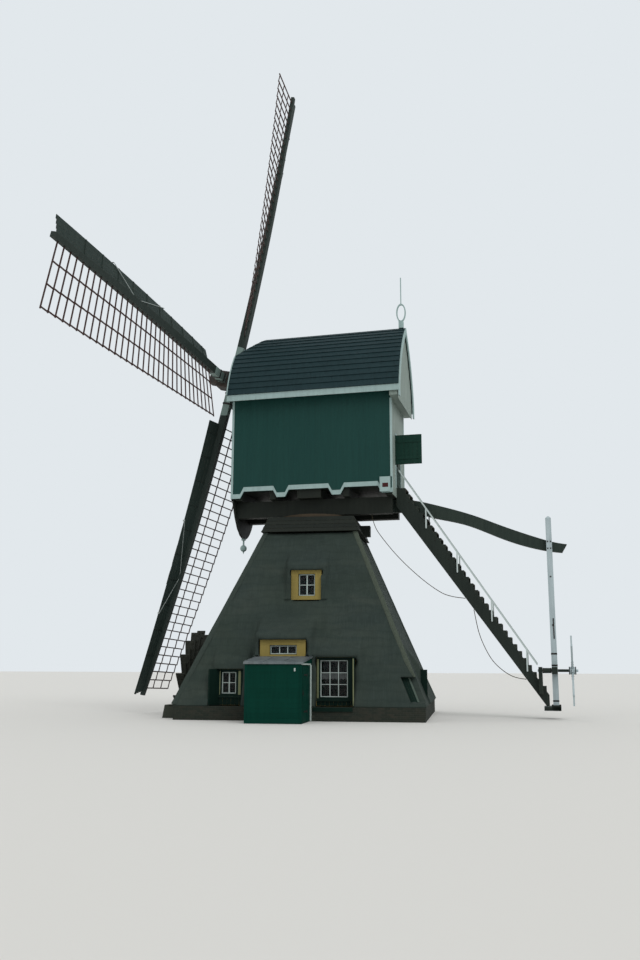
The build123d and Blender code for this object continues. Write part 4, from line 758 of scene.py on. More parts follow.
block(fascias, (porch_right + 0.004, -4.51, 0.02), (porch_right + 0.06, -4.46, 1.904))
make("porch_roof_seams", seams, sheet_metal, "tower")
make("porch_trims", fascias, sash_white, "tower", edge=0.003)
for ring in range(7):
    angle = radians(90 * ring / 6)
    bar(lamp_shell, max(0.028 * cos(angle), 0.002), 0.11 - 0.04 * ring / 6,
        moved(0.235, -porch_front - board_proud - 0.05 * sin(angle) * 0.8, 1.745), sides=16)
make("wall_lamp", lamp_shell, sash_white, "tower", edge=0)

# Scoop wheel: a tarred oak wheel with a plank paddle on each prop, half above the ground, beside
# the left wall. Iron bands hold its hub, and bolts hold the paddles to their props.
wheel_tar = timber("wheel_timber", paint(38, 42, 38), paint(52, 54, 47), paint(86, 82, 70), gloss=0.7,
                   turn=upright, relief=0.005)
dress(wheel_tar, "scoop_wheel")
scoop_inner, scoop_axle, scoop_reach, scoop_width, paddle_lean = -4.61, 0.3, 2.97, 0.33, 25
lowest_iron = 0.1


def on_paddle(k, inward, behind, out):
    """A place so far in from a paddle's tip, behind its middle and out from the wheel's inner side."""
    turn, lean = radians(15.1 + 360 / 22 * k), radians(15.1 + 360 / 22 * k - paddle_lean)
    ahead = scoop_reach * sin(turn) - inward * sin(lean) + behind * cos(lean)
    up = scoop_reach * cos(turn) - inward * cos(lean) - behind * sin(lean)
    return Vector((scoop_inner - out, -ahead, scoop_axle + up))


battens, wheel_bolts = bmesh.new(), bmesh.new()
for k in range(-6, 5):
    for inward in (0.06, 0.3, 0.62):
        near, far = on_paddle(k, inward, 0.022, 0.02), on_paddle(k, inward + 0.07, 0.022, 0.02)
        rise = on_paddle(k, inward, 0.05, 0.02) - near
        if min(near.z, far.z) < lowest_iron:
            continue
        for start, end in ((0.02, 0.112), (0.218, 0.31)):
            shift = Vector((0.02 - start, 0, 0))
            prism(battens, [near + shift, far + shift, far + shift + rise, near + shift + rise],
                  (start - end, 0, 0))
        back = on_paddle(k, inward, -1, 0) - on_paddle(k, inward, 0, 0)
        aim = back.to_track_quat("Z", "Y").to_matrix().to_4x4()
        bar(wheel_bolts, 0.028, 0.03,
            Matrix.Translation(on_paddle(k, inward + 0.035, -0.03, scoop_width / 2)) @ aim, tip=0.02)
make("paddle_battens", battens, wheel_tar, "tower")
for out in (0.0, 0.28):
    for radius in (0.262, 0.14):
        bar(wheel_bolts, radius, 0.062, moved(scoop_inner - out - 0.025, 0, scoop_axle) @ turned(90, "Y"),
            sides=32)
for k in range(8):
    if cos(radians(22.5 + 45 * k)) < -0.2:
        continue
    for radius in (1.2, 1.98):
        angle = radians(45 * k)
        at = Vector((scoop_inner - scoop_width / 2 - 0.07, radius * sin(angle),
                     scoop_axle + radius * cos(angle)))
        if at.z > lowest_iron:
            bar(wheel_bolts, 0.03, 0.03, Matrix.Translation(at) @ turned(-90, "Y"), tip=0.024)
make("wheel_irons", wheel_bolts, iron, "tower", edge=0.003)

# Kerb of the wheel's pit: courses of the same brick as the foot, with a short return at each end.
# Slabs of grey stone close it on top.
kerb_bricks, slabs = bmesh.new(), bmesh.new()
kerb_face, kerb_reach, kerb_top, kerb_lean = -5.19, 3.32, 0.465, 0.08
for row in range(6):
    low = row * course + joint / 2
    high = low + course - joint
    half_bond = brick_length / 2 if row % 2 else 0
    foot_x, head_x = [kerb_face + kerb_lean * z / kerb_top for z in (low, high)]
    for step in range(31):
        start = -kerb_reach + step * brick_length + half_bond
        near, far = max(start, -kerb_reach), min(start + brick_length - joint, kerb_reach)
        if far - near > shortest_brick:
            prism(kerb_bricks, [(foot_x, near, low), (foot_x, far, low),
                                (head_x, far, high), (head_x, near, high)], (-0.008, 0, 0))
    for side in (-1, 1):
        y = side * (kerb_reach - 0.008)
        for step in range(4):
            start = head_x - 0.01 + step * brick_length + half_bond
            near, far = max(start, head_x), min(start + brick_length - joint, -4.45)
            if far - near > shortest_brick:
                prism(kerb_bricks, [(near, y, low), (far, y, low), (far, y, high), (near, y, high)],
                      (0, side * 0.006, 0))
make("kerb_bricks", kerb_bricks, brick, "tower", edge=0.003)
slab_stone = Finish("slab_stone")
stain = slab_stone.marks(patches, 4.0)
slab_stone.coat(slab_stone.mix(stain, paint(92, 98, 92), paint(118, 122, 114)), 0.9)
slab_stone.relief(stain, 0.004)
slab_low, slab_high = 0.43, 0.472
for k in range(8):
    near = -kerb_reach + 2 * kerb_reach * k / 8
    block(slabs, (-5.118, near + 0.004, slab_low), (-4.996, near + 2 * kerb_reach / 8 - 0.004, slab_high))
for side in (-1, 1):
    low, high = sorted((side * (kerb_reach - 0.2), side * kerb_reach))
    block(slabs, (-4.99, low, slab_low), (-4.51, high, slab_high))
make("kerb_slabs", slabs, slab_stone, "tower", edge=0.008)

# Tower head: tarred boards over heavy framing, a ring to bear on, and the hollow post of oak. The
# boards lap like shingles up a short steep skirt.
tar = timber("tarred_timber", paint(24, 30, 27), paint(38, 42, 36), paint(86, 82, 70), gloss=0.6,
             turn=crosswise)
tar_upright = timber("tarred_upright", paint(24, 30, 27), paint(38, 42, 36), paint(86, 82, 70), gloss=0.6,
                     turn=upright)
oak = timber("bearing_oak", paint(74, 64, 50), paint(58, 50, 40), paint(96, 86, 68), gloss=0.6,
             turn=upright)
floor_wood = timber("floor_boards", paint(84, 74, 60), paint(70, 62, 50), paint(110, 100, 84), gloss=0.65)
dress(tar, "tower_head")
dress(oak, "hollow_post", "bearing_ring")
dress(floor_wood, "upper_floor")
skirt = bmesh.new()
skirt_low, skirt_half, skirt_board, skirt_slope = 7.0, 1.9, 0.15, 0.4
for side in range(4):
    begun = len(skirt.verts)
    for row in range(4):
        z = [skirt_low + skirt_board * row, skirt_low + skirt_board * (row + 1)]
        half = [skirt_half - skirt_slope * (height - skirt_low) for height in z]
        prism(skirt, [(0, -half[0] - 0.03, z[0] - 0.01), (0, -half[0], z[0] - 0.01), (0, -half[1], z[1]),
                      (0, -half[1] - 0.012, z[1])], (1, 0, 0))
        skirt.verts.ensure_lookup_table()
        for vert in skirt.verts[-8:]:
            vert.co.x = -vert.co.y if vert.co.x > 0.5 else vert.co.y
    turn_new(skirt, begun, side)
make("head_skirt_boards", skirt, tar, "tower", edge=0.003)

# House: beams and bearers of dark timber; the side walls are upright boards, painted green, behind
# a white trim board that follows the stepped lower edge. A red beam end shows at the back corner.
house_green = timber("house_green_paint", paint(19, 58, 54), paint(25, 64, 59), paint(60, 84, 78),
                     gloss=0.5, turn=upright, marks=0.22, relief=0.002, wearing=0.2)
dress(tar, "cross_beams", "long_bearers", "house_floor")
dress(house_green, "house_wall_near", "house_wall_far")
house_white = timber("house_white", paint(160, 184, 183), paint(140, 162, 160), paint(122, 122, 112),
                     marks=0.35)
dress(house_white, "wall_trim")
house_front, house_back, house_half, edge_low, edge_high = -3.24, 3.34, 1.45, 8.47, 8.75
steps = [(house_front, edge_low), (-2.84, edge_low), (-2.69, edge_high), (-1.45, edge_high),
         (-1.3, edge_low), (-0.96, edge_low), (-0.81, edge_high), (0.81, edge_high), (0.96, edge_low),
         (1.3, edge_low), (1.45, edge_high), (2.79, edge_high), (2.94, edge_low), (house_back, edge_low)]


def along_line(points, at):
    """Height of a line of points, in order of x, at an x."""
    for (x1, z1), (x2, z2) in zip(points, points[1:]):
        if at <= x2:
            return z1 if x1 == x2 else z1 + (z2 - z1) * (at - x1) / (x2 - x1)
    return points[-1][1]


walls, ends = bmesh.new(), bmesh.new()
wall_boards, wall_gap, wall_proud, wall_high = 30, 0.001, 0.012, 12.55
width = (house_back - house_front) / wall_boards
for face in (-1, 1):
    for k in range(wall_boards):
        left, right = house_front + width * k + wall_gap / 2, house_front + width * (k + 1) - wall_gap / 2
        foot = [left] + [x for x, z in steps if left < x < right] + [right]
        outline = [(x, face * house_half, along_line(steps, x) + 0.06) for x in foot]
        outline += [(right, face * house_half, wall_high), (left, face * house_half, wall_high)]
        prism(walls, outline, (0, face * wall_proud, 0))
make("house_wall_boards", walls, house_green, "house", edge=0.001)
block(ends, (2.985, -house_half - 0.118, 8.665), (3.215, -house_half - 0.1, 8.83))
red = timber("red_paint", paint(70, 28, 29), paint(58, 25, 25), gloss=0.5)
make("sill_end", ends, red, "house", edge=0.006)

# Roof: thirteen rows of lapped boards on each curved side, tarred, and cut back along the front
# hip, which has its own level boards. A thin white board edges the roof's front.
roof_tar = timber("roof_tar", paint(22, 44, 47), paint(31, 53, 57), paint(70, 80, 78), gloss=0.6,
                  marks=0.45, wearing=0.3)
dress(roof_tar, "roof_near", "roof_far", "front_hip")
eaves_half, eaves_z, swell, ridge_z = 1.88, 12.69, (1.33, 14.12), 15.64
hip_foot, hip_top, roof_back, roof_front = 14.65, -2.32, 3.72, -3.36


def arc_through(a, b, c, count):
    """Points along the circle's arc through three points."""
    (ax, az), (bx, bz), (cx, cz) = a, b, c
    d = 2 * (ax * (bz - cz) + bx * (cz - az) + cx * (az - bz))
    ux = ((ax * ax + az * az) * (bz - cz) + (bx * bx + bz * bz) * (cz - az)
          + (cx * cx + cz * cz) * (az - bz)) / d
    uz = ((ax * ax + az * az) * (cx - bx) + (bx * bx + bz * bz) * (ax - cx)
          + (cx * cx + cz * cz) * (bx - ax)) / d
    centre, start, end = Vector((ux, uz)), Vector(a) - Vector((ux, uz)), Vector(c) - Vector((ux, uz))
    whole = start.angle_signed(end)
    turn = [Matrix.Rotation(-whole * k / count, 2) for k in range(count + 1)]
    return [centre + part @ start for part in turn]


rows, cuts = 13, 6
curve = arc_through((eaves_half, eaves_z), swell, (0, ridge_z), rows * cuts)
hip_steep = (ridge_z - hip_foot) / (hip_top - roof_front)
board_lift, board_thick, least_lift, joint_gap = 0.036, 0.024, 0.006, 0.004


def roof_start(z):
    """Where a side's boards begin: at the front edge, or above the hip's foot along the hip."""
    return roof_front if z <= hip_foot else roof_front + (z - hip_foot) / hip_steep


def outward(before, after):
    """The direction out of the roof between two points of its curve."""
    tangent = (after - before).normalized()
    return Vector((tangent.y, -tangent.x))


roof = bmesh.new()
for side in (-1, 1):
    for row in range(rows):
        part = curve[row * cuts:(row + 1) * cuts + 1]
        if row < rows - 1:
            part = part + [curve[(row + 1) * cuts + 1]]
        joint_at = -1.2 + 3.1 * ((row * 5) % 7) / 7
        for begin, end in ((None, joint_at), (joint_at + joint_gap, roof_back + 0.01)):
            tops, unders = [], []
            for k, point in enumerate(part):
                normal = outward(part[max(k - 1, 0)], part[min(k + 1, len(part) - 1)])
                lift = board_lift * (1 - k / (len(part) - 1)) + least_lift
                for reach, line in ((lift, tops), (lift - board_thick if lift > 0.03 else 0.0, unders)):
                    at = point + normal * reach
                    line.append((roof_start(at.y) - 0.01 if begin is None else begin, side * at.x, at.y))
            ring = tops + unders[::-1]
            front = [roof.verts.new(point) for point in ring]
            back = [roof.verts.new((end, point[1], point[2])) for point in ring]
            roof.faces.new(front)
            roof.faces.new(back[::-1])
            for k in range(len(ring)):
                roof.faces.new((front[k - 1], back[k - 1], back[k], front[k]))
make("roof_boards", roof, roof_tar, "house", edge=0.003)

hip = bmesh.new()
hip_rows, hip_lap = 5, 1.15
hip_out = Vector((-hip_steep, 0, 1)).normalized()
for row in range(hip_rows):
    feet = []
    for step, lift in ((row, 0.04), (row + hip_lap, 0.012)):
        z = min(hip_foot + (ridge_z - hip_foot) * step / hip_rows, ridge_z - 0.01)
        half = next((a.x + (b.x - a.x) * (z - a.y) / (b.y - a.y) for a, b in zip(curve, curve[1:])
                     if z <= b.y), 0.0)
        feet += [(Vector((roof_start(z), y * max(half - 0.01, 0.01), z)), lift) for y in (-1, 1)]
    feet[2:] = feet[:1:-1]
    low = [hip.verts.new(foot - hip_out * 0.01) for foot, lift in feet]
    high = [hip.verts.new(foot + hip_out * lift) for foot, lift in feet]
    hip.faces.new(low[::-1])
    hip.faces.new(high)
    for k in range(4):
        hip.faces.new((low[k - 1], low[k], high[k], high[k - 1]))
make("front_hip_boards", hip, roof_tar, "house", edge=0.003)

edging = bmesh.new()
for side in (-1, 1):
    rings = []
    for point, after in zip(curve, curve[1:]):
        if point.y < hip_foot:
            places = [(x, point + outward(point, after) * reach)
                      for reach, x in ((0.044, -0.018), (0.044, 0.03), (-0.03, 0.03), (-0.03, -0.018))]
            rings.append([(roof_front + x, side * at.x, at.y) for x, at in places])
    skin(edging, rings)
make("front_edge_boards", edging, house_white, "house")


# Front wall and apron: upright tarred boards; the apron's boards end in a curve that runs down to a
# white turned drop.
def board_spans(half, count, gap):
    """The sides of boards that cover a width, and how proud each stands."""
    width = 2 * half / count
    return [(-half + width * k + gap, -half + width * (k + 1) - gap, 0.012 + 0.003 * (k % 2))
            for k in range(count)]


dress(tar_upright, "front_wall", "front_apron")
dress(house_white, "pendant")
apron = ((0, 7.04), (0.16, 7.04), (0.4, 7.12), (0.72, 7.34), (1.0, 7.67), (1.19, 8.0), (1.36, 8.33))
apron_face, apron_high, front_high = -3.19, 8.4, 12.6
end_half, end_boards, end_gap, end_low = 1.36, 16, 0.002, 8.42
front = bmesh.new()
for left, right, proud in board_spans(end_half, end_boards, end_gap):
    ys = [left + (right - left) * part / 4 for part in range(5)]
    outline = [(apron_face, y, along_line(apron, abs(y)) + 0.005) for y in ys]
    outline += [(apron_face, right, apron_high), (apron_face, left, apron_high)]
    prism(front, outline, (-proud, 0, 0))
    prism(front, [(house_front, left, end_low), (house_front, right, end_low),
                  (house_front, right, front_high), (house_front, left, front_high)], (-proud, 0, 0))
make("front_boards", front, tar_upright, "house", edge=0.003)

# Back wall: pale upright boards with a white door frame. The stair door is in two leaves: the lower
# one is shut, and the upper one stands open.
white_upright = timber("white_upright", paint(138, 152, 146), paint(116, 130, 122), paint(110, 108, 96),
                       turn=upright, marks=0.4)
dress(white_upright, "back_wall")
stair_green = timber("stair_green", paint(24, 52, 44), paint(31, 59, 51), turn=upright, wearing=0.2,
                     shine=0.05)
dress(stair_green, "stair_door")
door_near, door_far, door_top, leaf_split = -0.56, 0.5, 10.93, 9.74
floor_z, back_high, casing = 8.81, 12.26, 0.09
rear, trims, leaves = bmesh.new(), bmesh.new(), bmesh.new()
for left, right, proud in board_spans(end_half, end_boards, end_gap):
    spans = [(end_low, back_high)]
    if right > door_near - 0.08 and left < door_far + 0.08:
        spans = [(door_top + 0.08, back_high), (end_low, floor_z - 0.02)]
    for low, high in spans:
        prism(rear, [(house_back, left, low), (house_back, right, low), (house_back, right, high),
                     (house_back, left, high)], (proud, 0, 0))
make("back_boards", rear, white_upright, "house", edge=0.003)
for low, high in (((door_near - casing, floor_z - 0.02), (door_near - 0.003, leaf_split - 0.02)),
                  ((door_far + 0.003, floor_z - 0.02), (door_far + casing, door_top + casing)),
                  ((door_near - casing, door_top + 0.003), (door_far + 0.003, door_top + casing))):
    block(trims, (house_back, low[0], low[1]), (house_back + 0.035, high[0], high[1]))
for y in (-house_half, 1.37):
    block(trims, (house_back, y, 8.49), (house_back + 0.028, y + 0.08, back_high))
for y, low in ((-1.478, 9.09), (house_half, 8.7)):
    block(trims, (house_back - 0.05, y, low), (house_back + 0.028, y + 0.028, back_high))
    block(trims, (house_front, y, 8.6), (house_front + 0.09, y + 0.028, 12.54))
make("corner_trims", trims, house_white, "house")
leaf_planks = 6
for k in range(leaf_planks):
    left = door_near + 0.01 + (door_far - door_near - 0.02) * k / leaf_planks
    right = left + (door_far - door_near - 0.02) / leaf_planks - 0.004
    block(leaves, (house_back, left, floor_z + 0.01), (house_back + 0.012, right, leaf_split - 0.01))
    start = house_back + 0.005 + (door_far - door_near - 0.01) * k / leaf_planks
    block(leaves, (start, door_near - 0.052, leaf_split + 0.01),
          (start + 0.172, door_near - 0.04, door_top - 0.01))
for z in (leaf_split + 0.2, door_top - 0.32):
    block(leaves, (house_back + 0.06, door_near - 0.072, z),
          (house_back + 0.98, door_near - 0.052, z + 0.12))
for z in (floor_z + 0.12, leaf_split - 0.24):
    block(leaves, (house_back + 0.012, door_near + 0.05, z), (house_back + 0.03, door_far - 0.05, z + 0.12))
make("stair_door_boards", leaves, stair_green, "house", edge=0.003)

# Rear gable: white upright boards with rounded lower ends, edged by curved boards. The eaves boards
# and the finial are of the same white.
dress(white_upright, "rear_gable")
dress(house_white, "rear_bargeboard", "eaves_boards", "finial")
gable = bmesh.new()
gable_face, gable_low, gable_half, gable_boards, round_parts = 3.66, 12.24, 1.72, 19, 8
for k in range(gable_boards):
    left = -gable_half + 2 * gable_half * k / gable_boards
    right = left + 2 * gable_half / gable_boards - 0.005
    middle, half = (left + right) / 2, (right - left) / 2
    high = next((point.y for point in curve if point.x <= max(abs(left), abs(right)) + 0.1), 15.5) - 0.1
    turns = [pi + pi * part / round_parts for part in range(round_parts + 1)]
    outline = [(gable_face, middle + half * cos(turn), gable_low + half * sin(turn)) for turn in turns]
    prism(gable, outline + [(gable_face, right, high), (gable_face, left, high)],
          (0.016 + 0.004 * (k % 2), 0, 0))
make("gable_boards", gable, white_upright, "house", edge=0.003)

# Shaft, its square iron head, and the two stocks that pass through it. The stocks are pale near the
# head; straps hold them.
cast = Finish("cast_iron", shine=0.4)
cast.coat(cast.over(paint(40, 42, 40), cast.marks(patches, 3.0), 0.6, paint(74, 58, 46)), 0.75)
cast.relief(cast.noise(30.0, 4.0), 0.004)
dress(cast, "windshaft")
dress(oak, "shaft_beams")
incline = radians(12.7)
hub = house_turn @ Vector((-3.95, 0, 13.9))
forward = house_turn.to_3x3() @ Vector((-cos(incline), 0, sin(incline)))
side_x = house_turn.to_3x3() @ Vector((0, -1, 0))
side_y = forward.cross(side_x)
sail_length, stock_sheer, stock_gap, pale_until = 13.61, 0.54, 0.19, 1.56


def sail_frame(index):
    """Places a piece on a sail: x out along it, y to its leading side, z forward."""
    angle = radians(1.3 + 90 * index)
    along = side_x * cos(angle) + side_y * sin(angle)
    matrix = Matrix((along, forward.cross(along), forward)).transposed().to_4x4()
    return Matrix.Translation(hub + forward * (stock_gap if index % 2 == 0 else -stock_gap)) @ matrix


def sail_timber(name, index, near_hub, main, second):
    """Paint on a sail's wood, whose grain runs along that sail, and is another colour at the hub."""
    turn = sail_frame(index).to_3x3().transposed().to_euler("XYZ")
    finish = timber(name, main, second, gloss=0.6, turn=tuple(turn), marks=0.4)
    if near_hub:
        away = put(finish.tree, "VectorMath", {0: finish.place, 1: tuple(hub)},
                   operation="DISTANCE").outputs["Value"]
        was = finish.shader.inputs["Base Color"].links[0].from_socket
        share = finish.within(away, pale_until, pale_until + 0.01)
        finish.set("Base Color", finish.mix(share, near_hub, was))
    return finish


stock_paint, lattice_paint, board_paint = [
    [sail_timber(kind + word, index, near_hub, main, second)
     for index, word in ((0, "outer"), (1, "inner"))]
    for kind, near_hub, main, second in (
        ("stock_paint_", paint(118, 138, 133), paint(36, 46, 43), paint(48, 58, 54)),
        ("lattice_paint_", None, paint(58, 42, 42), paint(74, 54, 50)),
        ("board_paint_", None, paint(40, 53, 50), paint(52, 64, 60)))]
dress(stock_paint[0], "outer_stock")
dress(stock_paint[1], "inner_stock")


# Sails: four boards along each stock on the leading side, held by cleats and bolts from behind, and an
# open lattice on the other side. The boards curve forward with the sail and twist towards the hub.
def on_board(r, across, ahead):
    """A place on a sail's boards: out along the sail, across from their inner edge, and ahead of them."""
    sheer = stock_sheer * (r / sail_length) ** 2
    lean = radians(21 - 20 * (r - 2.05) / (sail_length - 2.05)) + radians(6)
    along = (0.171 - 0.08 * r / sail_length + 0.013 * sin(lean)) / cos(lean) + across
    return Vector((r, along * cos(lean) - ahead * sin(lean), sheer + along * sin(lean) + ahead * cos(lean)))


blades = ("near", "top", "far", "bottom")
boards_from, board_pitch, board_width, board_half, board_steps = 1.95, 0.14, 0.137, 0.011, 40
cleat_section = ((0, -0.036), (0.05, -0.036), (0.05, -0.0112), (0, -0.0112))
for index, blade in enumerate(blades):
    dress(lattice_paint[index % 2], blade + "_sail_lattice")
    place_at = sail_frame(index)
    planks, irons = bmesh.new(), bmesh.new()
    for k, cut_back in enumerate((0.15, 0.11, 0.07, 0.02)):
        near, far = board_pitch * k, board_pitch * k + board_width
        run = sail_length - cut_back - boards_from
        corners = ((near, -board_half), (far, -board_half), (far, board_half), (near, board_half))
        skin(planks, [[place_at @ on_board(boards_from + run * step / board_steps, *corner)
                       for corner in corners] for step in range(board_steps + 1)])
    for step in range(10):
        r = 2.4 + 1.056 * step
        skin(planks, [[place_at @ on_board(r + along, across, ahead) for along, ahead in cleat_section]
                      for across in (0.01, 0.55)])
        for across in (0.07, 0.21, 0.35, 0.49):
            bar(irons, 0.008, 0.01, place_at @ Matrix.Translation(on_board(r + 0.025, across, -0.038)),
                sides=6)
    boards_on = make(blade + "_sail_planks", planks, board_paint[index % 2], "sails",
                     edge=0.002)
    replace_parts(boards_on, blade + "_sail_boards")
    make(blade + "_sail_bolts", irons, iron, "sails", edge=0)

hub_irons = bmesh.new()
half_w, half_d = 0.176, 0.156
for index in range(4):
    place_at = sail_frame(index)
    for x in (0.52, 0.98):
        for low, high in (((x, -half_w - 0.01, -half_d - 0.01), (x + 0.07, half_w + 0.01, -half_d + 0.004)),
                          ((x, -half_w - 0.01, half_d - 0.004), (x + 0.07, half_w + 0.01, half_d + 0.014)),
                          ((x, -half_w - 0.012, -half_d - 0.01),
                           (x + 0.07, -half_w + 0.004, half_d + 0.014)),
                          ((x, half_w - 0.004, -half_d - 0.01),
                           (x + 0.07, half_w + 0.012, half_d + 0.014))):
            block(hub_irons, low, high, place_at)
        for y in (-0.1, 0.1):
            bar(hub_irons, 0.024, 0.03, place_at @ moved(x + 0.035, y, half_d + 0.025), sides=6)
make("hub_straps", hub_irons, iron, "sails", edge=0.003)

# Tail beam: one long curved timber. The tail post is white, with a pointed head, iron bands and bolts,
# and stands on the dark foot beam.
tail_dark = timber("tail_timber", paint(36, 48, 44), paint(50, 60, 54), paint(104, 100, 88), gloss=0.6,
                   marks=0.4)
dress(tail_dark, "tail_beam")
post_white = timber("post_white", paint(186, 200, 204), paint(150, 166, 170), paint(120, 120, 112),
                    turn=upright, marks=0.45)
dress(post_white, "tail_post")
post_x, post_y, post_half, band, band_height = 9.13, -0.215, 0.105, 0.006, 0.06
tail_irons = bmesh.new()
for face in (-1, 1):
    for x, z in ((-0.055, 6.27), (0.055, 6.27), (-0.055, 6.53), (0.055, 6.53), (0, 5.2), (0, 3.4)):
        at = moved(post_x + x, post_y + face * (post_half + 0.01), z)
        bar(tail_irons, 0.03, 0.03, at @ turned(90, "X"), tip=0.026)
block(tail_irons, (post_x + 0.01, post_y - post_half - 0.02, 2.9),
      (post_x + 0.05, post_y - post_half + 0.001, 3.65))
for low in (1.9, 2.32, 0.62):
    high = low + band_height
    for x in (post_x - post_half - band, post_x + post_half):
        block(tail_irons, (x, post_y - post_half - band, low), (x + band, post_y + post_half + band, high))
    for y in (post_y - post_half - band, post_y + post_half):
        block(tail_irons, (post_x - post_half - band, y, low), (post_x + post_half + band, y + band, high))
make("tail_post_irons", tail_irons, iron, "house", edge=0.002)

# Stair: two strings with open treads between them, all dark, and thin pale rails. A cleat on each
# string carries each tread, and bolts hold the strings to the treads.
stair_dark = timber("stair_paint", paint(30, 38, 35), paint(44, 52, 46), paint(112, 106, 92), gloss=0.6,
                    turn=(0, radians(-56), 0))
tread_wood = timber("tread_wood", paint(46, 48, 42), paint(66, 64, 54), paint(112, 106, 92), gloss=0.7,
                    turn=crosswise)
rail_white = timber("white_paint", paint(196, 208, 206), paint(168, 182, 182), paint(130, 130, 120),
                    marks=0.3)
dress(stair_dark, "stair_strings")
dress(tread_wood, "stair_treads")
dress(rail_white, "handrails")
stair_x, stair_z, stair_fall, tread_count, tread_step = 3.7, 8.81, 7.63 / 5.1, 31, 0.17
string_out, string_in, string_under = 0.429, 0.372, 0.2
cleats, string_bolts, foot_cover = bmesh.new(), bmesh.new(), bmesh.new()
for side in (-1, 1):
    for k in range(tread_count):
        nose = stair_x + tread_step * k
        y, z = side * string_in, stair_z - stair_fall * tread_step * k - 0.002
        prism(cleats, [(nose, y, z), (nose - string_under / stair_fall, y, z),
                       (nose, y, z - string_under - 0.01)], (0, side * (string_out - string_in), 0))
        if k % 3 == 1:
            bar(string_bolts, 0.018, 0.02, moved(nose - 0.05, side * 0.437, z - 0.33) @ turned(90, "X"),
                tip=0.014)
make("stair_cleats", cleats, stair_dark, "house", edge=0.003)
make("stair_bolts", string_bolts, iron, "house", edge=0.002)
block(foot_cover, (8.697, -0.433, 0.297), (9.303, 0.433, 0.453))
block(foot_cover, (8.96, -0.433, 0.2965), (9.3, -0.31, 0.5))
block(foot_cover, (8.96, 0.31, 0.2965), (9.3, 0.433, 0.5))
make("foot_beam_cover", foot_cover, stair_dark, "house", edge=0.01)

# Winch: the tail is hauled round by a spoked hand wheel on a dark wooden axle, between two bearings.
# Iron rings bind the axle and the hub, and plates hold the spokes.
dress(stair_dark, "winch_bearings")
dress(post_white, "winding_wheel")
axle_y, axle_z, wheel_x, spokes = -0.515, 1.74, 9.76, 8
axle_wood, axle_rings = bmesh.new(), bmesh.new()
for shape, start, end, radius in ((axle_wood, 8.697, 9.018, 0.094), (axle_wood, 9.245, 9.627, 0.051),
                                  (axle_rings, 8.705, 8.735, 0.099), (axle_rings, 8.98, 9.01, 0.099),
                                  (axle_rings, 9.634, 9.664, 0.141), (axle_rings, 9.856, 9.886, 0.141)):
    bar(shape, radius, end - start, moved((start + end) / 2, axle_y, axle_z) @ turned(90, "Y"), sides=32)
for k in range(spokes):
    aim = moved(wheel_x, axle_y, axle_z) @ turned(360 / spokes * k, "X")
    for x in (-0.036, 0.03):
        block(axle_rings, (x, -0.03, 0.16), (x + 0.006, 0.03, 0.34), aim)
        for z in (0.2, 0.3):
            bar(axle_rings, 0.014, 0.02, aim @ moved(x + 0.003, 0, z) @ turned(90, "Y"))
make("winch_barrel", axle_wood, stair_dark, "winding_wheel", edge=0.003)
make("winch_wheel_irons", axle_rings, iron, "winding_wheel", edge=0.002)

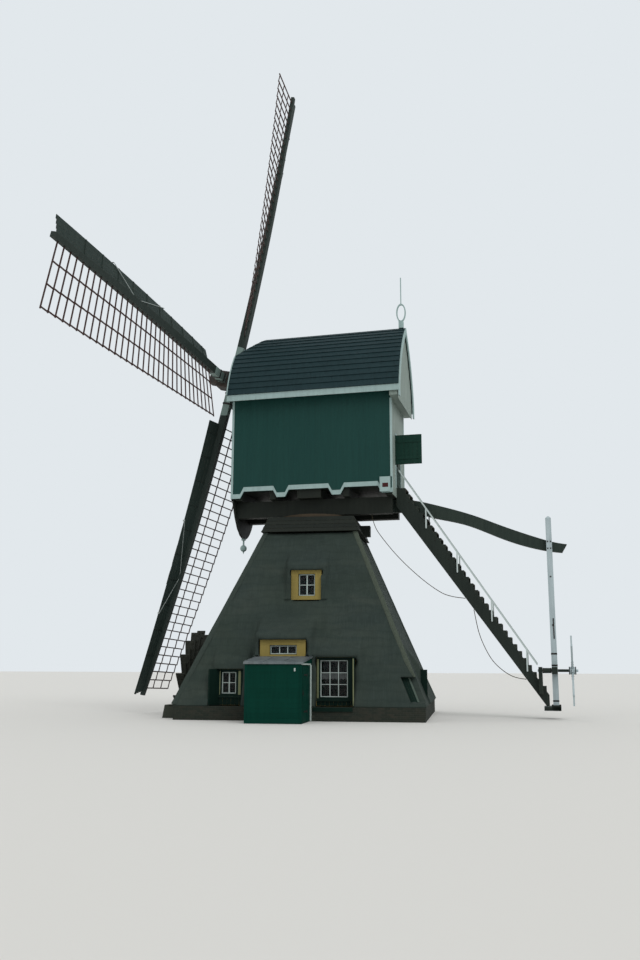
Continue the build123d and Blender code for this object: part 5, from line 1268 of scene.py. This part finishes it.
# Furled cloths: each sail's canvas is rolled up tight along its inner boards and bound with thin
# rope. A pale strap runs from the cloth's end over the back of the boards to the stock.
canvas = Finish("sail_canvas")
fold = canvas.marks(patches, 5.0)
canvas.coat(canvas.mix(fold, paint(52, 52, 45), paint(68, 66, 57)), 0.9)
weave = canvas.waves(Scale=90.0, Distortion=1.0)
canvas.relief(put(canvas.tree, "Math", {0: fold, 1: 8.0, 2: weave}, operation="MULTIPLY_ADD").outputs[0],
              0.002)
strap_paint = timber("pale_strap", paint(168, 178, 176), paint(150, 160, 158), paint(120, 120, 112),
                     marks=0.3)
tie_count, tie_pitch, roll_from, roll_length, roll_at, roll_ahead = 6, 1.1, 2.32, 6.7, 0.36, 0.1
turns, parts, roll_steps, roll_start, roll_wind, tie_radius, tie_half = 5, 12, 67, 0.03, 0.05, 0.07, 0.007
strap_route = ((6.3, 0.575, 0.05), (6.3, 0.575, -0.05), (8.6, -0.06, -0.06), (10.2, 0.575, -0.05),
               (10.2, 0.575, 0.03))
strap_section = ((0, 0), (0.07, 0), (0.07, -0.01), (0, -0.01))
for index, blade in enumerate(blades):
    place_at = sail_frame(index)
    roll, ties, straps = bmesh.new(), bmesh.new(), bmesh.new()
    rows = []
    for step in range(roll_steps + 1):
        r = roll_from + roll_length * step / roll_steps
        nearest = min(abs(r - roll_from - 0.5 - tie_pitch * tie) for tie in range(tie_count))
        waist = 1 - 0.22 * max(0, 1 - nearest / 0.2)
        row = []
        for k in range(turns * parts + 1):
            angle = 2 * pi * k / parts
            radius = (roll_start + roll_wind * k / (turns * parts)) * waist
            radius += 0.006 * noise.noise((r * 2, cos(angle), sin(angle) + index * 5)) * min(1, k / parts)
            point = on_board(r, roll_at + radius * cos(angle), roll_ahead + radius * sin(angle))
            row.append(roll.verts.new(place_at @ point))
        rows.append(row)
    for low, high in zip(rows, rows[1:]):
        for k in range(turns * parts):
            roll.faces.new((low[k], low[k + 1], high[k + 1], high[k]))
    cloth = make(blade + "_sail_cloth", roll, canvas, "sails", edge=0, smooth=180)
    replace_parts(cloth, "sail_cloths")
    for tie in range(tie_count):
        r = roll_from + 0.5 + tie_pitch * tie
        rings = []
        for k in range(parts + 1):
            angle = 2 * pi * k / parts
            ring = []
            for side in range(6):
                radius = tie_radius + tie_half * cos(2 * pi * side / 6)
                at = r + tie_half * sin(2 * pi * side / 6)
                ring.append(place_at @ on_board(at, roll_at + radius * cos(angle),
                                                roll_ahead + radius * sin(angle)))
            rings.append(ring)
        skin(ties, rings)
    make(blade + "_cloth_ties", ties, hemp, "sails", edge=0)
    for places in zip(strap_route, strap_route[1:]):
        skin(straps, [[place_at @ on_board(r + along, across, ahead + thick)
                       for along, thick in strap_section] for r, across, ahead in places])
    make(blade + "_cloth_strap", straps, strap_paint, "sails", edge=0)
